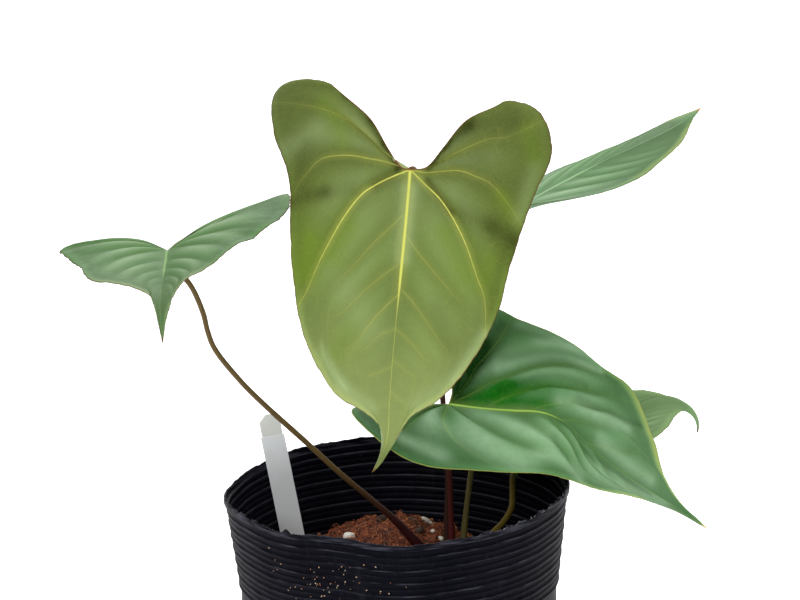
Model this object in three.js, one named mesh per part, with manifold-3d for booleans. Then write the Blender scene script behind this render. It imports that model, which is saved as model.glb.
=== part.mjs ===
// A potted anthurium hybrid: five long-stalked heart-shaped leaves on a short stem, in a soft
// black nursery pot filled with a coir and bark mix, with a bare plant label.
//
// Units are millimetres, +Z is up. The origin is the centre of the pot's underside, which stands
// on the surface z = 0. +X is to the right and +Y away from someone who looks at the front.

import * as THREE from "three";
import { mergeVertices } from "three/addons/utils/BufferGeometryUtils.js";
import Module from "manifold-3d";

const wasm = await Module();
wasm.setup();

// Driving dimensions of the pot
const POT_HEIGHT = 155;
const POT_RIM_RADIUS = 90;
const POT_BASE_RADIUS = 75;
const POT_WALL = 1.0;
const POT_FLOOR = 1.6;
const LIP_HEIGHT = 3.6;
const LIP_FLARE = 1.2;
const RING_PITCH = 6.6;
const RING_COUNT = 7;
const RING_DEPTH = 0.9;
const FLUTE_COUNT = 32;
const POT_SEGMENTS = 2 * FLUTE_COUNT;
const FLUTE_DEPTH = 0.7;
const FLUTE_BOTTOM = 12;
const WALL_PRESS = 2.6;
const PRESS_FULL_HEIGHT = 100;
const PRESS_EASE = 50;
const DRAIN_HOLES = 6;
const DRAIN_HOLE_RADIUS = 5;
const DRAIN_HOLE_CIRCLE = 52;

// Driving dimensions of the potting mix and what lies on it
const SEAT_GAP = 0.3;
const MOUND_DEPTH = 32;
const WALL_DEPTH = 60;
const MOUND_X = -1;
const MOUND_Y = 42;
const MOUND_SPREAD = 86;
const MIX_LUMP = 1.3;
const MIX_RINGS = 12;
const MIX_SEGMENTS = 40;
const GRAIN_RISE = 0.15;

// Driving dimensions of the plant
const BLADE_THICKNESS = 0.8;
const STALK_RADIUS = 1.65;
const STALK_SIDES = 8;
const STEM_X = 29;
const STEM_Y = 2;
const STEM_RADIUS = 9;
const STEM_BOTTOM = 62;
const STEM_TOP = 122;

// Driving dimensions of the label
const LABEL_LENGTH = 118;
const LABEL_WIDTH = 11;
const LABEL_TAPE_WIDTH = 12.4;
const LABEL_THICKNESS = 0.8;
const LABEL_LEAN = 10.5;
const LABEL_FOOT = [-45.7, 18, 77];
const LABEL_TAPE_TOP = 12;
const LABEL_TAPE_FOOT = 22;
const LABEL_POINT = 14;
const LABEL_CLIP = [2.5, 4];

const DEG = Math.PI / 180;

function smooth(x) {
  const s = Math.min(Math.max(x, 0), 1);
  return s * s * (3 - 2 * s);
}

function lerpTable(x, xs, ys) {
  if (x <= xs[0]) return ys[0];
  for (let i = 1; i < xs.length; i += 1) {
    if (x <= xs[i]) return ys[i - 1] + ((ys[i] - ys[i - 1]) * (x - xs[i - 1])) / (xs[i] - xs[i - 1]);
  }
  return ys[ys.length - 1];
}

// A smooth curve through flat points, with s from 0 at the first to 1 at the last
function through(points, s) {
  const last = points.length - 1;
  const at = Math.min(Math.max(s, 0), 1) * last;
  const i = Math.min(Math.floor(at), last - 1);
  const f = at - i;
  const mirror = (a, b) => a.map((value, k) => 2 * value - b[k]);
  const p1 = points[i];
  const p2 = points[i + 1];
  const p0 = i > 0 ? points[i - 1] : mirror(p1, p2);
  const p3 = i + 2 <= last ? points[i + 2] : mirror(p2, p1);
  return p1.map((b, k) => {
    const [a, c, d] = [p0[k], p2[k], p3[k]];
    const square = 2 * a - 5 * b + 4 * c - d;
    const cube = 3 * b - a - 3 * c + d;
    return 0.5 * (2 * b + (c - a) * f + square * f * f + cube * f ** 3);
  });
}

// The outline of half a leaf starts at the notch over the stalk, goes round the lobe and ends at
// the tip. Each point is [distance from the midrib, distance along the midrib from the stalk].
// The right half is on the right when the upper face is seen with the tip pointing away.
const NOTCH_SHAPE = [[0.22, 0.16], [0.33, 0.38], [0.62, 0.74]];

const LEAVES = {
  leaf_main: {
    color: 0x8a9c5a,
    stalkTop: [7, -47, 341],
    heading: -106, dip: 75, roll: 0, length: 159, halfWidth: 76,
    back: 20, droop: 8, tipDroop: 29, bend: 0, bendAt: 0.35,
    yaw: 12, yawAlong: -14, tipYaw: 45, twist: 0, waves: 0.5, wavePhase: 0.4,
    right: {
      fold: 12, foldAlong: 0, curl: -35, curlAlong: 50,
      notch: [[5, -1], [12, -10], [22, -24]],
      margin: [[36, -35], [55, -47], [90, -50], [79, -17], [64, 8], [59, 37],
        [54, 61], [45, 89], [29, 113], [10, 124], [2, 137], [0, 159]],
    },
    left: {
      fold: 12, foldAlong: 0, curl: -35, curlAlong: 50,
      notch: [[9, -2], [17, -12], [27, -25]],
      margin: [[41, -33], [49, -37], [64, -32], [71, -13], [63, 12], [57, 39],
        [53, 65], [43, 91], [28, 111], [11, 124], [5, 139], [0, 159]],
    },
  },
  leaf_right: {
    color: 0x5c8a5e,
    stalkTop: [27, 0, 204],
    heading: 2, dip: 11, roll: -13, length: 166, halfWidth: 73,
    back: -13, droop: -37, tipDroop: 3, bend: 55, bendAt: 0.33,
    yaw: -14, yawAlong: 5, tipYaw: 25, twist: -20, waves: 0.5, wavePhase: 1.1,
    right: {
      fold: 1, foldAlong: 4, curl: -4, curlAlong: -15,
      margin: [[14, -34], [43, -51], [62, -36], [67, -14], [59, 12], [52, 38],
        [48, 61], [33, 83], [19, 105], [8, 126], [2, 146], [0, 166]],
    },
    left: {
      fold: 21, foldAlong: 13, curl: -17, curlAlong: 2,
      notch: [[10, 1], [20, -3], [29, -14]],
      margin: [[40, -27], [60, -38], [81, -32], [84, -5], [75, 22], [58, 43],
        [48, 66], [47, 95], [29, 118], [12, 132], [6, 147], [0, 166]],
    },
  },
  leaf_left: {
    color: 0x6f8f66,
    stalkTop: [-116, -20, 292],
    heading: -89, dip: 2, roll: -4, length: 115, halfWidth: 63,
    back: 9, droop: -5, tipDroop: 79, bend: 0, bendAt: 0.35,
    yaw: 0, yawAlong: -1, tipYaw: -3, twist: 2, waves: 1.0, wavePhase: 2.0,
    right: {
      fold: 13, foldAlong: 6, curl: -26, curlAlong: 5,
      margin: [[24, -21], [41, -21], [55, -17], [55, -6], [51, 10], [45, 27],
        [41, 46], [34, 67], [20, 78], [6, 82], [2, 99], [0, 115]],
    },
    left: {
      fold: 21, foldAlong: 5, curl: -14, curlAlong: -9,
      margin: [[28, -14], [44, -40], [62, -42], [65, -14], [59, 12], [50, 25],
        [42, 36], [31, 52], [19, 68], [9, 85], [4, 100], [0, 115]],
    },
  },
  leaf_back: {
    color: 0x5f8c66,
    stalkTop: [61, 70, 289],
    heading: 3, dip: -31, roll: 0, length: 116, halfWidth: 53,
    back: 5, droop: 13, tipDroop: -18, bend: 0, bendAt: 0.35,
    yaw: -8, yawAlong: -11, tipYaw: -8, twist: -26, waves: 0.4, wavePhase: 0.2,
    right: {
      fold: 3, foldAlong: -29, curl: 34, curlAlong: 0,
      margin: [[26, -23], [39, -32], [53, -29], [52, -11], [46, 9], [46, 28],
        [42, 46], [31, 62], [20, 78], [12, 94], [3, 106], [0, 116]],
    },
    left: {
      fold: 3, foldAlong: -14, curl: -17, curlAlong: -30,
      margin: [[22, -22], [34, -30], [49, -28], [48, -9], [42, 12], [34, 32],
        [25, 47], [16, 62], [12, 78], [12, 93], [9, 106], [0, 116]],
    },
  },
  leaf_low: {
    color: 0x4f7f55,
    stalkTop: [62, 38, 161],
    heading: 21, dip: -11, roll: 2, length: 119, halfWidth: 43,
    back: -5, droop: -8, tipDroop: 121, bend: 0, bendAt: 0.35,
    yaw: 1, yawAlong: 0, tipYaw: 8, twist: -30, waves: 0.4, wavePhase: 1.7,
    right: {
      fold: 15, foldAlong: -13, curl: -5, curlAlong: -3,
      margin: [[15, -19], [25, -25], [36, -23], [38, -9], [35, 9], [32, 29],
        [31, 46], [26, 68], [18, 84], [8, 94], [2, 103], [0, 119]],
    },
    left: {
      fold: 10, foldAlong: 4, curl: -22, curlAlong: -3,
      margin: [[15, -19], [25, -25], [36, -23], [38, -9], [35, 9], [32, 29],
        [30, 46], [24, 67], [16, 82], [7, 93], [5, 104], [0, 119]],
    },
  },
};

// Where the side veins reach the margin, as shares of it, from the notch to the tip. The first
// three leave the stalk itself and the rest leave the midrib.
const VEIN_SHARES = [0, 0.23, 0.41, 0.62, 0.69, 0.73, 0.78, 0.82, 0.87, 0.93, 1];
const STEPS_PER_VEIN = [5, 4, 4, 2, 2, 2, 2, 2, 2, 2];
const BASAL_SHARE = 0.65;
const FOOT_POWER = 0.55;
const VEIN_START = { at: [0.23, 0.41, 0.62, 0.69, 0.8, 1], degrees: [-36, -22, 22, 38, 44, 70] };
const VEIN_FAN = 40;
const NOTCH_FADE = 0.16;
const QUILT_HEIGHT = 1.1;
const WAVES_ROUND_HALF = 5;
const ACROSS_STEPS = 6;

function veinNumber(share) {
  return lerpTable(share, VEIN_SHARES, VEIN_SHARES.map((_, i) => i));
}

// A bowed line from a vein's foot that leaves it at an angle and ends on the margin
function bowedLine(foot, end, angle, out) {
  const reach = 0.5 * Math.hypot(end[0] - foot[0], end[1] - foot[1]);
  const knee = [foot[0] + reach * Math.cos(angle), foot[1] + reach * Math.sin(angle)];
  return [0, 1].map((k) => foot[k] * (1 - out) ** 2 + knee[k] * 2 * out * (1 - out) + end[k] * out * out);
}

// A flat point of half a leaf: share goes along the margin, out goes from the vein's foot to it.
// The first line is the notch's own edge, and its bends fade over the lines beside it.
function flatPoint(leaf, half, share, out) {
  const lobe = half.margin[0];
  const notch = half.notch ?? NOTCH_SHAPE.map(([a, b]) => [a * lobe[0], b * lobe[1]]);
  const first = Math.atan2(notch[0][1], notch[0][0]);
  const fanned = first + VEIN_FAN * share * DEG;
  const angle = Math.max(lerpTable(share, VEIN_START.at, VEIN_START.degrees) * DEG, fanned);
  const along = Math.min(Math.max((share - BASAL_SHARE) / (1 - BASAL_SHARE), 0), 1);
  const foot = [0, leaf.length * 0.999 * along ** FOOT_POWER];
  const point = bowedLine(foot, through(half.margin, share), angle, out);
  const edge = through([[0, 0], ...notch, lobe], out);
  const plain = bowedLine([0, 0], lobe, first, out);
  const fade = smooth(1 - share / NOTCH_FADE);
  return [0, 1].map((k) => point[k] + (edge[k] - plain[k]) * fade);
}

// The leaf's own frame at the stalk: to the right, to the tip and out of the upper face
function leafFrame(leaf) {
  const [a, d, r] = [leaf.heading * DEG, leaf.dip * DEG, leaf.roll * DEG];
  const tipward = new THREE.Vector3(Math.cos(a) * Math.cos(d), Math.sin(a) * Math.cos(d), -Math.sin(d));
  const upper = new THREE.Vector3(Math.cos(a) * Math.sin(d), Math.sin(a) * Math.sin(d), Math.cos(d));
  const right = new THREE.Vector3().crossVectors(tipward, upper);
  const rolled = right.clone().multiplyScalar(Math.cos(r)).addScaledVector(upper, Math.sin(r));
  const face = upper.clone().multiplyScalar(Math.cos(r)).addScaledVector(right, -Math.sin(r));
  return new THREE.Matrix4().makeBasis(rolled, tipward, face);
}

// Where along the midrib its bends begin and how much of its length each takes
const TIP_DROOP_FROM = 0.62;
const TIP_TURN_FROM = 0.8;
const BEND_LENGTH = 0.22;
const BACK_LENGTH = 0.3;
const LOBE_REACH = -0.4;

// Directions of the midrib at the share w of its length, behind the stalk where w is negative
function midribDirections(leaf, w) {
  const tipPart = Math.min(Math.max((w - TIP_DROOP_FROM) / (1 - TIP_DROOP_FROM), 0), 1) ** 2;
  const kink = smooth((w - leaf.bendAt) / BEND_LENGTH + 0.5);
  const ahead = leaf.droop * w + leaf.tipDroop * tipPart + leaf.bend * kink;
  const pitch = (w < 0 ? (leaf.back * w) / BACK_LENGTH : ahead) * DEG;
  const tipTurn = leaf.tipYaw * Math.min(Math.max((w - TIP_TURN_FROM) / (1 - TIP_TURN_FROM), 0), 1);
  const yaw = (leaf.yaw * w + leaf.yawAlong * w * Math.abs(w) + tipTurn) * DEG;
  const twist = leaf.twist * w * DEG;
  const level = new THREE.Vector3(Math.sin(yaw), Math.cos(yaw), 0);
  const along = level.multiplyScalar(Math.cos(pitch)).add(new THREE.Vector3(0, 0, -Math.sin(pitch)));
  const side = new THREE.Vector3(Math.cos(yaw), -Math.sin(yaw), 0);
  const face = new THREE.Vector3().crossVectors(side, along);
  const right = side.clone().multiplyScalar(Math.cos(twist)).addScaledVector(face, Math.sin(twist));
  const up = face.clone().multiplyScalar(Math.cos(twist)).addScaledVector(side, -Math.sin(twist));
  return { along, right, up };
}

// The midrib as a table of points and directions, found by walking both ways from the stalk
function walkMidrib(leaf, steps = 60) {
  const walk = (end, count) => {
    const rows = [{ w: 0, point: new THREE.Vector3(), ...midribDirections(leaf, 0) }];
    for (let i = 1; i <= count; i += 1) {
      const before = rows[i - 1];
      const w = (end * i) / count;
      const here = midribDirections(leaf, w);
      const step = before.along.clone().add(here.along).multiplyScalar(0.5 * (w - before.w) * leaf.length);
      rows.push({ w, point: before.point.clone().add(step), ...here });
    }
    return rows;
  };
  return [...walk(LOBE_REACH, steps / 2).reverse().slice(0, -1), ...walk(1, steps)];
}

// Turns flat points of a leaf into places in space
function leafSurface(leaf) {
  const midrib = walkMidrib(leaf);
  const frame = leafFrame(leaf).setPosition(...leaf.stalkTop);
  return (sideSign, share, out) => {
    const half = sideSign > 0 ? leaf.right : leaf.left;
    const [u, v] = flatPoint(leaf, half, share, out);
    const w = v / leaf.length;
    const next = Math.max(midrib.findIndex((row) => row.w >= w), 1);
    const [lo, hi] = [midrib[next - 1], midrib[next]];
    const mix = (w - lo.w) / (hi.w - lo.w);
    const blend = (key) => lo[key].clone().lerp(hi[key], mix);
    const fold = (half.fold + half.foldAlong * w) * DEG;
    const curl = ((half.curl + half.curlAlong * w) * DEG * u) / leaf.halfWidth;
    const straight = Math.abs(curl) < 1e-4;
    const across = straight ? Math.cos(fold) : (Math.sin(fold + curl) - Math.sin(fold)) / curl;
    const lift = straight ? Math.sin(fold) : (Math.cos(fold) - Math.cos(fold + curl)) / curl;
    const phase = leaf.wavePhase + (sideSign > 0 ? 1.7 : 0);
    const wave = leaf.waves * out ** 3 * Math.sin(2 * Math.PI * WAVES_ROUND_HALF * share + phase);
    const number = veinNumber(share);
    const puff = Math.sin(Math.PI * (number - Math.floor(number))) ** 2;
    const inside = Math.sin(Math.PI * Math.min(out * 1.1, 1)) * smooth((0.95 - share) / 0.3);
    const quilt = QUILT_HEIGHT * puff * inside;
    const point = blend("point")
      .addScaledVector(blend("right"), across * u * sideSign)
      .addScaledVector(blend("up"), lift * u + wave + quilt);
    return point.applyMatrix4(frame);
  };
}

// Shares of the margin at which the leaf's grid has a line, denser where the outline turns
function gridShares() {
  const shares = [0];
  STEPS_PER_VEIN.forEach((steps, i) => {
    for (let k = 1; k <= steps; k += 1) {
      shares.push(VEIN_SHARES[i] + ((VEIN_SHARES[i + 1] - VEIN_SHARES[i]) * k) / steps);
    }
  });
  return shares;
}

// One leaf blade: two halves of a grid that meet at the midrib, with the same triangles on the
// upper and the lower face and a narrow wall round the edge
function makeBlade(leaf) {
  const surface = leafSurface(leaf);
  const shares = gridShares();
  const middle = [];
  const add = (point) => middle.push(point) - 1;
  const stalk = add(surface(1, 0, 0));
  const tip = add(surface(1, 1, 1));
  const foot = shares.map((share) => (share <= BASAL_SHARE ? stalk : add(surface(1, share, 0))));
  foot[foot.length - 1] = tip;
  const triangles = [];
  const edges = [];
  for (const sideSign of [1, -1]) {
    const rows = shares.map((share, i) => {
      if (i === shares.length - 1) return Array(ACROSS_STEPS + 1).fill(tip);
      const row = [foot[i]];
      for (let j = 1; j <= ACROSS_STEPS; j += 1) row.push(add(surface(sideSign, share, j / ACROSS_STEPS)));
      return row;
    });
    const put = (a, b, c) => {
      if (a === b || b === c || a === c) return;
      triangles.push(sideSign > 0 ? [a, b, c] : [a, c, b]);
    };
    for (let i = 0; i + 1 < rows.length; i += 1) {
      for (let j = 0; j < ACROSS_STEPS; j += 1) {
        put(rows[i][j], rows[i][j + 1], rows[i + 1][j + 1]);
        put(rows[i][j], rows[i + 1][j + 1], rows[i + 1][j]);
      }
    }
    const rim = [...rows[0], ...rows.slice(1, -1).map((row) => row[ACROSS_STEPS]), tip];
    for (let i = 0; i + 1 < rim.length; i += 1) {
      edges.push(sideSign > 0 ? [rim[i], rim[i + 1]] : [rim[i + 1], rim[i]]);
    }
  }
  const normals = middle.map(() => new THREE.Vector3());
  for (const [a, b, c] of triangles) {
    const ab = middle[b].clone().sub(middle[a]);
    const normal = ab.cross(middle[c].clone().sub(middle[a]));
    for (const i of [a, b, c]) normals[i].add(normal);
  }
  const positions = [];
  for (const level of [0.5, -0.5]) {
    middle.forEach((point, i) => {
      const place = point.clone().addScaledVector(normals[i].clone().normalize(), level * BLADE_THICKNESS);
      positions.push(place.x, place.y, place.z);
    });
  }
  const under = middle.length;
  const index = [];
  for (const [a, b, c] of triangles) index.push(a, b, c, under + a, under + c, under + b);
  for (const [a, b] of edges) index.push(a, under + a, under + b, a, under + b, b);
  const geometry = new THREE.BufferGeometry();
  geometry.setAttribute("position", new THREE.Float32BufferAttribute(positions, 3));
  geometry.setIndex(index);
  return geometry;
}

// The routes of the leaf stalks from inside the stem. Each ends under its blade, square to it.
const STALKS = {
  stalk_main: {
    leaf: "leaf_main",
    color: 0x4a2422,
    route: [[26.6, 6, 116], [26.6, 6.5, 135], [26.6, 6.5, 165], [24, 6, 205], [21, 0, 250], [16, -15, 300],
      [11, -31, 328]],
  },
  stalk_right: {
    leaf: "leaf_right",
    color: 0x5a3428,
    route: [[29.6, 0.5, 116], [28.8, 1, 135], [27.6, 1.5, 165], [26.8, 2, 188]],
  },
  stalk_left: {
    leaf: "leaf_left",
    color: 0x6a5228,
    route: [[22.5, 0, 116], [16.5, -1, 122], [10.7, -2, 128.5], [0, -3.5, 141], [-12, -5.5, 153],
      [-28, -8, 168], [-47, -10, 187], [-69, -13, 209], [-80, -14, 221], [-93, -16, 239],
      [-96.5, -17, 249], [-98.5, -17, 258], [-105, -19, 274]],
  },
  stalk_back: {
    leaf: "leaf_back",
    color: 0x7a6a34,
    route: [[34, 6, 116], [35, 9, 127], [39, 19.5, 160], [45, 45, 195], [50, 72, 236], [56, 77, 262]],
  },
  stalk_low: {
    leaf: "leaf_low",
    color: 0x8a7634,
    route: [[35, 0, 116], [42, 1.5, 124], [50, 5, 131.5], [56.5, 12, 136], [60.6, 19, 141.5],
      [61.2, 26, 148], [61.4, 30.5, 154]],
  },
};

function stalkRoute({ leaf, route }) {
  const { stalkTop } = LEAVES[leaf];
  const upper = new THREE.Vector3().setFromMatrixColumn(leafFrame(LEAVES[leaf]), 2);
  const under = (distance) => new THREE.Vector3(...stalkTop).addScaledVector(upper, -distance).toArray();
  return [...route, under(6), under(BLADE_THICKNESS / 2 + SEAT_GAP)];
}

function makeStalk(route, radius = STALK_RADIUS, endShift = 0) {
  const points = route.map((p) => new THREE.Vector3(...p));
  if (endShift > 0) points[0].add(points[0].clone().sub(points[1]).setLength(endShift));
  const curve = new THREE.CatmullRomCurve3(points, false, "centripetal");
  const steps = Math.max(8, Math.round(curve.getLength() / 9));
  const section = new THREE.Shape();
  for (let i = 0; i < STALK_SIDES; i += 1) {
    const angle = (2 * Math.PI * i) / STALK_SIDES;
    section[i === 0 ? "moveTo" : "lineTo"](radius * Math.cos(angle), radius * Math.sin(angle));
  }
  section.closePath();
  return new THREE.ExtrudeGeometry(section, { steps, bevelEnabled: false, extrudePath: curve });
}

// Boolean cuts, made on closed meshes
function toSolid(geometry) {
  const bare = geometry.clone();
  bare.deleteAttribute("normal");
  bare.deleteAttribute("uv");
  const merged = mergeVertices(bare, 1e-4);
  return new wasm.Manifold(new wasm.Mesh({
    numProp: 3,
    vertProperties: new Float32Array(merged.attributes.position.array),
    triVerts: new Uint32Array(merged.index.array),
  }));
}

function toGeometry(solid) {
  const mesh = solid.getMesh();
  const geometry = new THREE.BufferGeometry();
  geometry.setAttribute("position", new THREE.Float32BufferAttribute(mesh.vertProperties, 3));
  geometry.setIndex(Array.from(mesh.triVerts));
  return geometry;
}

function cut(geometry, tools) {
  return toGeometry(tools.reduce((solid, tool) => solid.subtract(toSolid(tool)), toSolid(geometry)));
}

// How far the soft rim stands above its nominal height, at angles round it from the right
const RIM_ANGLES = [0, 40, 75, 99, 115, 125, 145, 165, 180, 192, 212, 228, 240, 252, 265, 272, 290, 310,
  330, 345, 360];
const RIM_LIFTS = [6.5, 4.5, 3.4, 2.9, 1.4, 1.8, -0.7, -2.4, -1, 2, 3.5, 2.8, 5, 6.5, 3.3, 2.6, 4.9, 6.1,
  7.8, 8.6, 6.5];

// The rim's rise and fall, which the wall below follows less and less
function rimLift(angle, z) {
  return lerpTable(angle / DEG, RIM_ANGLES, RIM_LIFTS) * (z / POT_HEIGHT) ** 3;
}

// The soft wall is pressed in a little on the left, most at two thirds of its height
function wallPress(angle, z) {
  const share = Math.min(z / PRESS_FULL_HEIGHT, 1) * smooth((POT_HEIGHT - z) / PRESS_EASE);
  return WALL_PRESS * Math.max(-Math.cos(angle), 0) ** 2 * share;
}

function wallRadius(z) {
  return POT_BASE_RADIUS + ((POT_RIM_RADIUS - LIP_FLARE - POT_BASE_RADIUS) * z) / POT_HEIGHT;
}

// Outer profile of the pot from the base up: foot, fluted band, rings and lip
function potProfile() {
  const ringsTop = POT_HEIGHT - LIP_HEIGHT;
  const ringsBottom = ringsTop - RING_COUNT * RING_PITCH;
  const rows = [
    { z: 0, r: wallRadius(0) - 1.5, flute: 0 },
    { z: 2, r: wallRadius(2), flute: 0 },
    { z: FLUTE_BOTTOM - 3, r: wallRadius(FLUTE_BOTTOM - 3), flute: 0 },
    { z: FLUTE_BOTTOM, r: wallRadius(FLUTE_BOTTOM), flute: 1 },
    { z: ringsBottom - 6, r: wallRadius(ringsBottom - 6), flute: 1 },
    { z: ringsBottom - 3, r: wallRadius(ringsBottom - 3), flute: 0 },
  ];
  for (let i = 0; i < RING_COUNT; i += 1) {
    const z = ringsBottom + i * RING_PITCH;
    rows.push({ z: z + 0.2 * RING_PITCH, r: wallRadius(z) - RING_DEPTH / 2, flute: 0 });
    rows.push({ z: z + 0.7 * RING_PITCH, r: wallRadius(z) + RING_DEPTH / 2, flute: 0 });
  }
  rows.push({ z: ringsTop, r: wallRadius(ringsTop) - RING_DEPTH / 2, flute: 0 });
  rows.push({ z: ringsTop + 1.2, r: POT_RIM_RADIUS - 0.2, flute: 0 });
  rows.push({ z: POT_HEIGHT, r: POT_RIM_RADIUS, flute: 0 });
  return rows;
}

// A solid between an outer and an inner wall over one circle of angles
function makePot() {
  const outer = potProfile();
  const inner = outer.slice(1).map((row) => ({ ...row, r: row.r - POT_WALL })).reverse();
  inner[inner.length - 1].z = POT_FLOOR;
  const rows = [...outer, ...inner];
  const positions = [0, 0, 0];
  for (const row of rows) {
    for (let i = 0; i < POT_SEGMENTS; i += 1) {
      const angle = (2 * Math.PI * i) / POT_SEGMENTS;
      const flute = row.flute * FLUTE_DEPTH * 0.5 * (i % 2 === 0 ? 1 : -1);
      const r = row.r + flute - wallPress(angle, row.z);
      positions.push(r * Math.cos(angle), r * Math.sin(angle), row.z + rimLift(angle, row.z));
    }
  }
  positions.push(0, 0, POT_FLOOR);
  const floorCentre = rows.length * POT_SEGMENTS + 1;
  const at = (row, i) => 1 + row * POT_SEGMENTS + (i % POT_SEGMENTS);
  const index = [];
  for (let i = 0; i < POT_SEGMENTS; i += 1) {
    index.push(0, at(0, i + 1), at(0, i));
    index.push(floorCentre, at(rows.length - 1, i), at(rows.length - 1, i + 1));
    for (let row = 0; row + 1 < rows.length; row += 1) {
      index.push(at(row, i), at(row, i + 1), at(row + 1, i + 1));
      index.push(at(row, i), at(row + 1, i + 1), at(row + 1, i));
    }
  }
  const geometry = new THREE.BufferGeometry();
  geometry.setAttribute("position", new THREE.Float32BufferAttribute(positions, 3));
  geometry.setIndex(index);
  const holes = [];
  for (let i = 0; i < DRAIN_HOLES; i += 1) {
    const angle = (2 * Math.PI * (i + 0.5)) / DRAIN_HOLES;
    const hole = new THREE.CylinderGeometry(DRAIN_HOLE_RADIUS, DRAIN_HOLE_RADIUS, 6, 12);
    hole.rotateX(Math.PI / 2);
    hole.translate(DRAIN_HOLE_CIRCLE * Math.cos(angle), DRAIN_HOLE_CIRCLE * Math.sin(angle), 0.5);
    holes.push(hole);
  }
  return cut(geometry, holes);
}

// Height of the potting mix: a mound behind the stem that falls away to the walls, with lumps
function mixHeight(x, y) {
  const away = Math.hypot(x - MOUND_X, (y - MOUND_Y) * 0.8) / MOUND_SPREAD;
  const base = POT_HEIGHT - MOUND_DEPTH - (WALL_DEPTH - MOUND_DEPTH) * smooth(away);
  const lumps = Math.sin(0.31 * x + 0.17 * y + 1) * Math.sin(0.27 * y - 0.11 * x)
    + 0.6 * Math.sin(0.55 * x - 0.42 * y + 2) * Math.cos(0.47 * y + 0.3 * x);
  return base + MIX_LUMP * lumps;
}

function potInside(z) {
  return wallRadius(z) - POT_WALL - Math.max(RING_DEPTH, FLUTE_DEPTH) / 2 - SEAT_GAP;
}

function makeMix(tools) {
  const floor = POT_FLOOR + SEAT_GAP;
  const foot = 12;
  const edge = POT_HEIGHT - WALL_DEPTH - MIX_LUMP * 2;
  const positions = [0, 0, floor];
  const ring = (place) => {
    for (let i = 0; i < MIX_SEGMENTS; i += 1) positions.push(...place((2 * Math.PI * i) / MIX_SEGMENTS));
  };
  const inside = (a, z) => potInside(z) - wallPress(a, z);
  ring((a) => [(inside(a, 2) - 2) * Math.cos(a), (inside(a, 2) - 2) * Math.sin(a), floor]);
  ring((a) => [inside(a, foot) * Math.cos(a), inside(a, foot) * Math.sin(a), foot]);
  ring((a) => [inside(a, edge) * Math.cos(a), inside(a, edge) * Math.sin(a), edge]);
  for (let k = MIX_RINGS; k >= 1; k -= 1) {
    ring((a) => {
      const r = ((inside(a, edge) - 0.2) * k) / MIX_RINGS;
      const [x, y] = [r * Math.cos(a), r * Math.sin(a)];
      return [x, y, Math.max(mixHeight(x, y), edge + 0.5)];
    });
  }
  positions.push(0, 0, mixHeight(0, 0));
  const rings = MIX_RINGS + 3;
  const at = (row, i) => 1 + row * MIX_SEGMENTS + (i % MIX_SEGMENTS);
  const index = [];
  for (let i = 0; i < MIX_SEGMENTS; i += 1) {
    index.push(0, at(0, i + 1), at(0, i));
    index.push(rings * MIX_SEGMENTS + 1, at(rings - 1, i), at(rings - 1, i + 1));
    for (let row = 0; row + 1 < rings; row += 1) {
      index.push(at(row, i), at(row, i + 1), at(row + 1, i + 1));
      index.push(at(row, i), at(row + 1, i + 1), at(row + 1, i));
    }
  }
  const geometry = new THREE.BufferGeometry();
  geometry.setAttribute("position", new THREE.Float32BufferAttribute(positions, 3));
  geometry.setIndex(index);
  return cut(geometry, tools);
}

// The short stem: a knobbly upright rootstock ringed by old leaf scars
const STEM_PROFILE = [[0.55, 0], [0.8, 0.06], [0.92, 0.2], [1, 0.4], [0.93, 0.46], [1, 0.6], [0.9, 0.68],
  [0.98, 0.82], [0.8, 0.93], [0.45, 1]];

function makeStemBody(growth = 0) {
  const height = STEM_TOP - STEM_BOTTOM;
  const points = [new THREE.Vector2(0, -growth)];
  for (const [r, h] of STEM_PROFILE) points.push(new THREE.Vector2(r * STEM_RADIUS + growth, h * height));
  points[1].y -= growth;
  points[points.length - 1].y += growth;
  points.push(new THREE.Vector2(0, height + growth));
  const geometry = new THREE.LatheGeometry(points, 16);
  geometry.rotateX(Math.PI / 2);
  geometry.translate(STEM_X, STEM_Y, STEM_BOTTOM);
  return geometry;
}

// Plain holes for the stalks, a little wider than they are
function stalkHoles() {
  const width = STALK_RADIUS + SEAT_GAP;
  return Object.values(STALKS).map((stalk) => makeStalk(stalkRoute(stalk), width, SEAT_GAP));
}

// Grains of perlite and chips of bark that lie in dimples of the mix. Turn is about the upright,
// and tilt lowers the right end.
const GRAINS = {
  perlite_1: { at: [-25.4, 35.3], size: [6.5, 5.0, 5.0], turn: 20, tilt: 0, seed: 3, color: 0xdcdad2 },
  perlite_2: { at: [16.5, 62], size: [8.8, 3.6, 3.4], turn: 0, tilt: 40, seed: 7, color: 0xe4d8c2 },
  perlite_3: { at: [19.2, 39.5], size: [2.6, 2.3, 2.1], turn: 0, tilt: 0, seed: 11, color: 0xd8d2c6 },
  perlite_4: { at: [23.4, 34.5], size: [4.0, 3.0, 2.8], turn: 10, tilt: 0, seed: 5, color: 0xe6e2d8 },
  bark_1: { at: [-7.5, 50], size: [6.8, 4.6, 5.4], turn: 15, tilt: 10, seed: 2, color: 0x3a2620 },
  bark_2: { at: [9.6, 52], size: [7.4, 3.8, 2.8], turn: 0, tilt: 25, seed: 9, color: 0x33211c },
  bark_3: { at: [11.9, 37.5], size: [5.4, 4.6, 3.8], turn: 40, tilt: 0, seed: 13, color: 0x402a22 },
};
const GRAIN_ROUGHNESS = 0.14;
const GOLDEN_ANGLE = 2.399;

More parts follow.
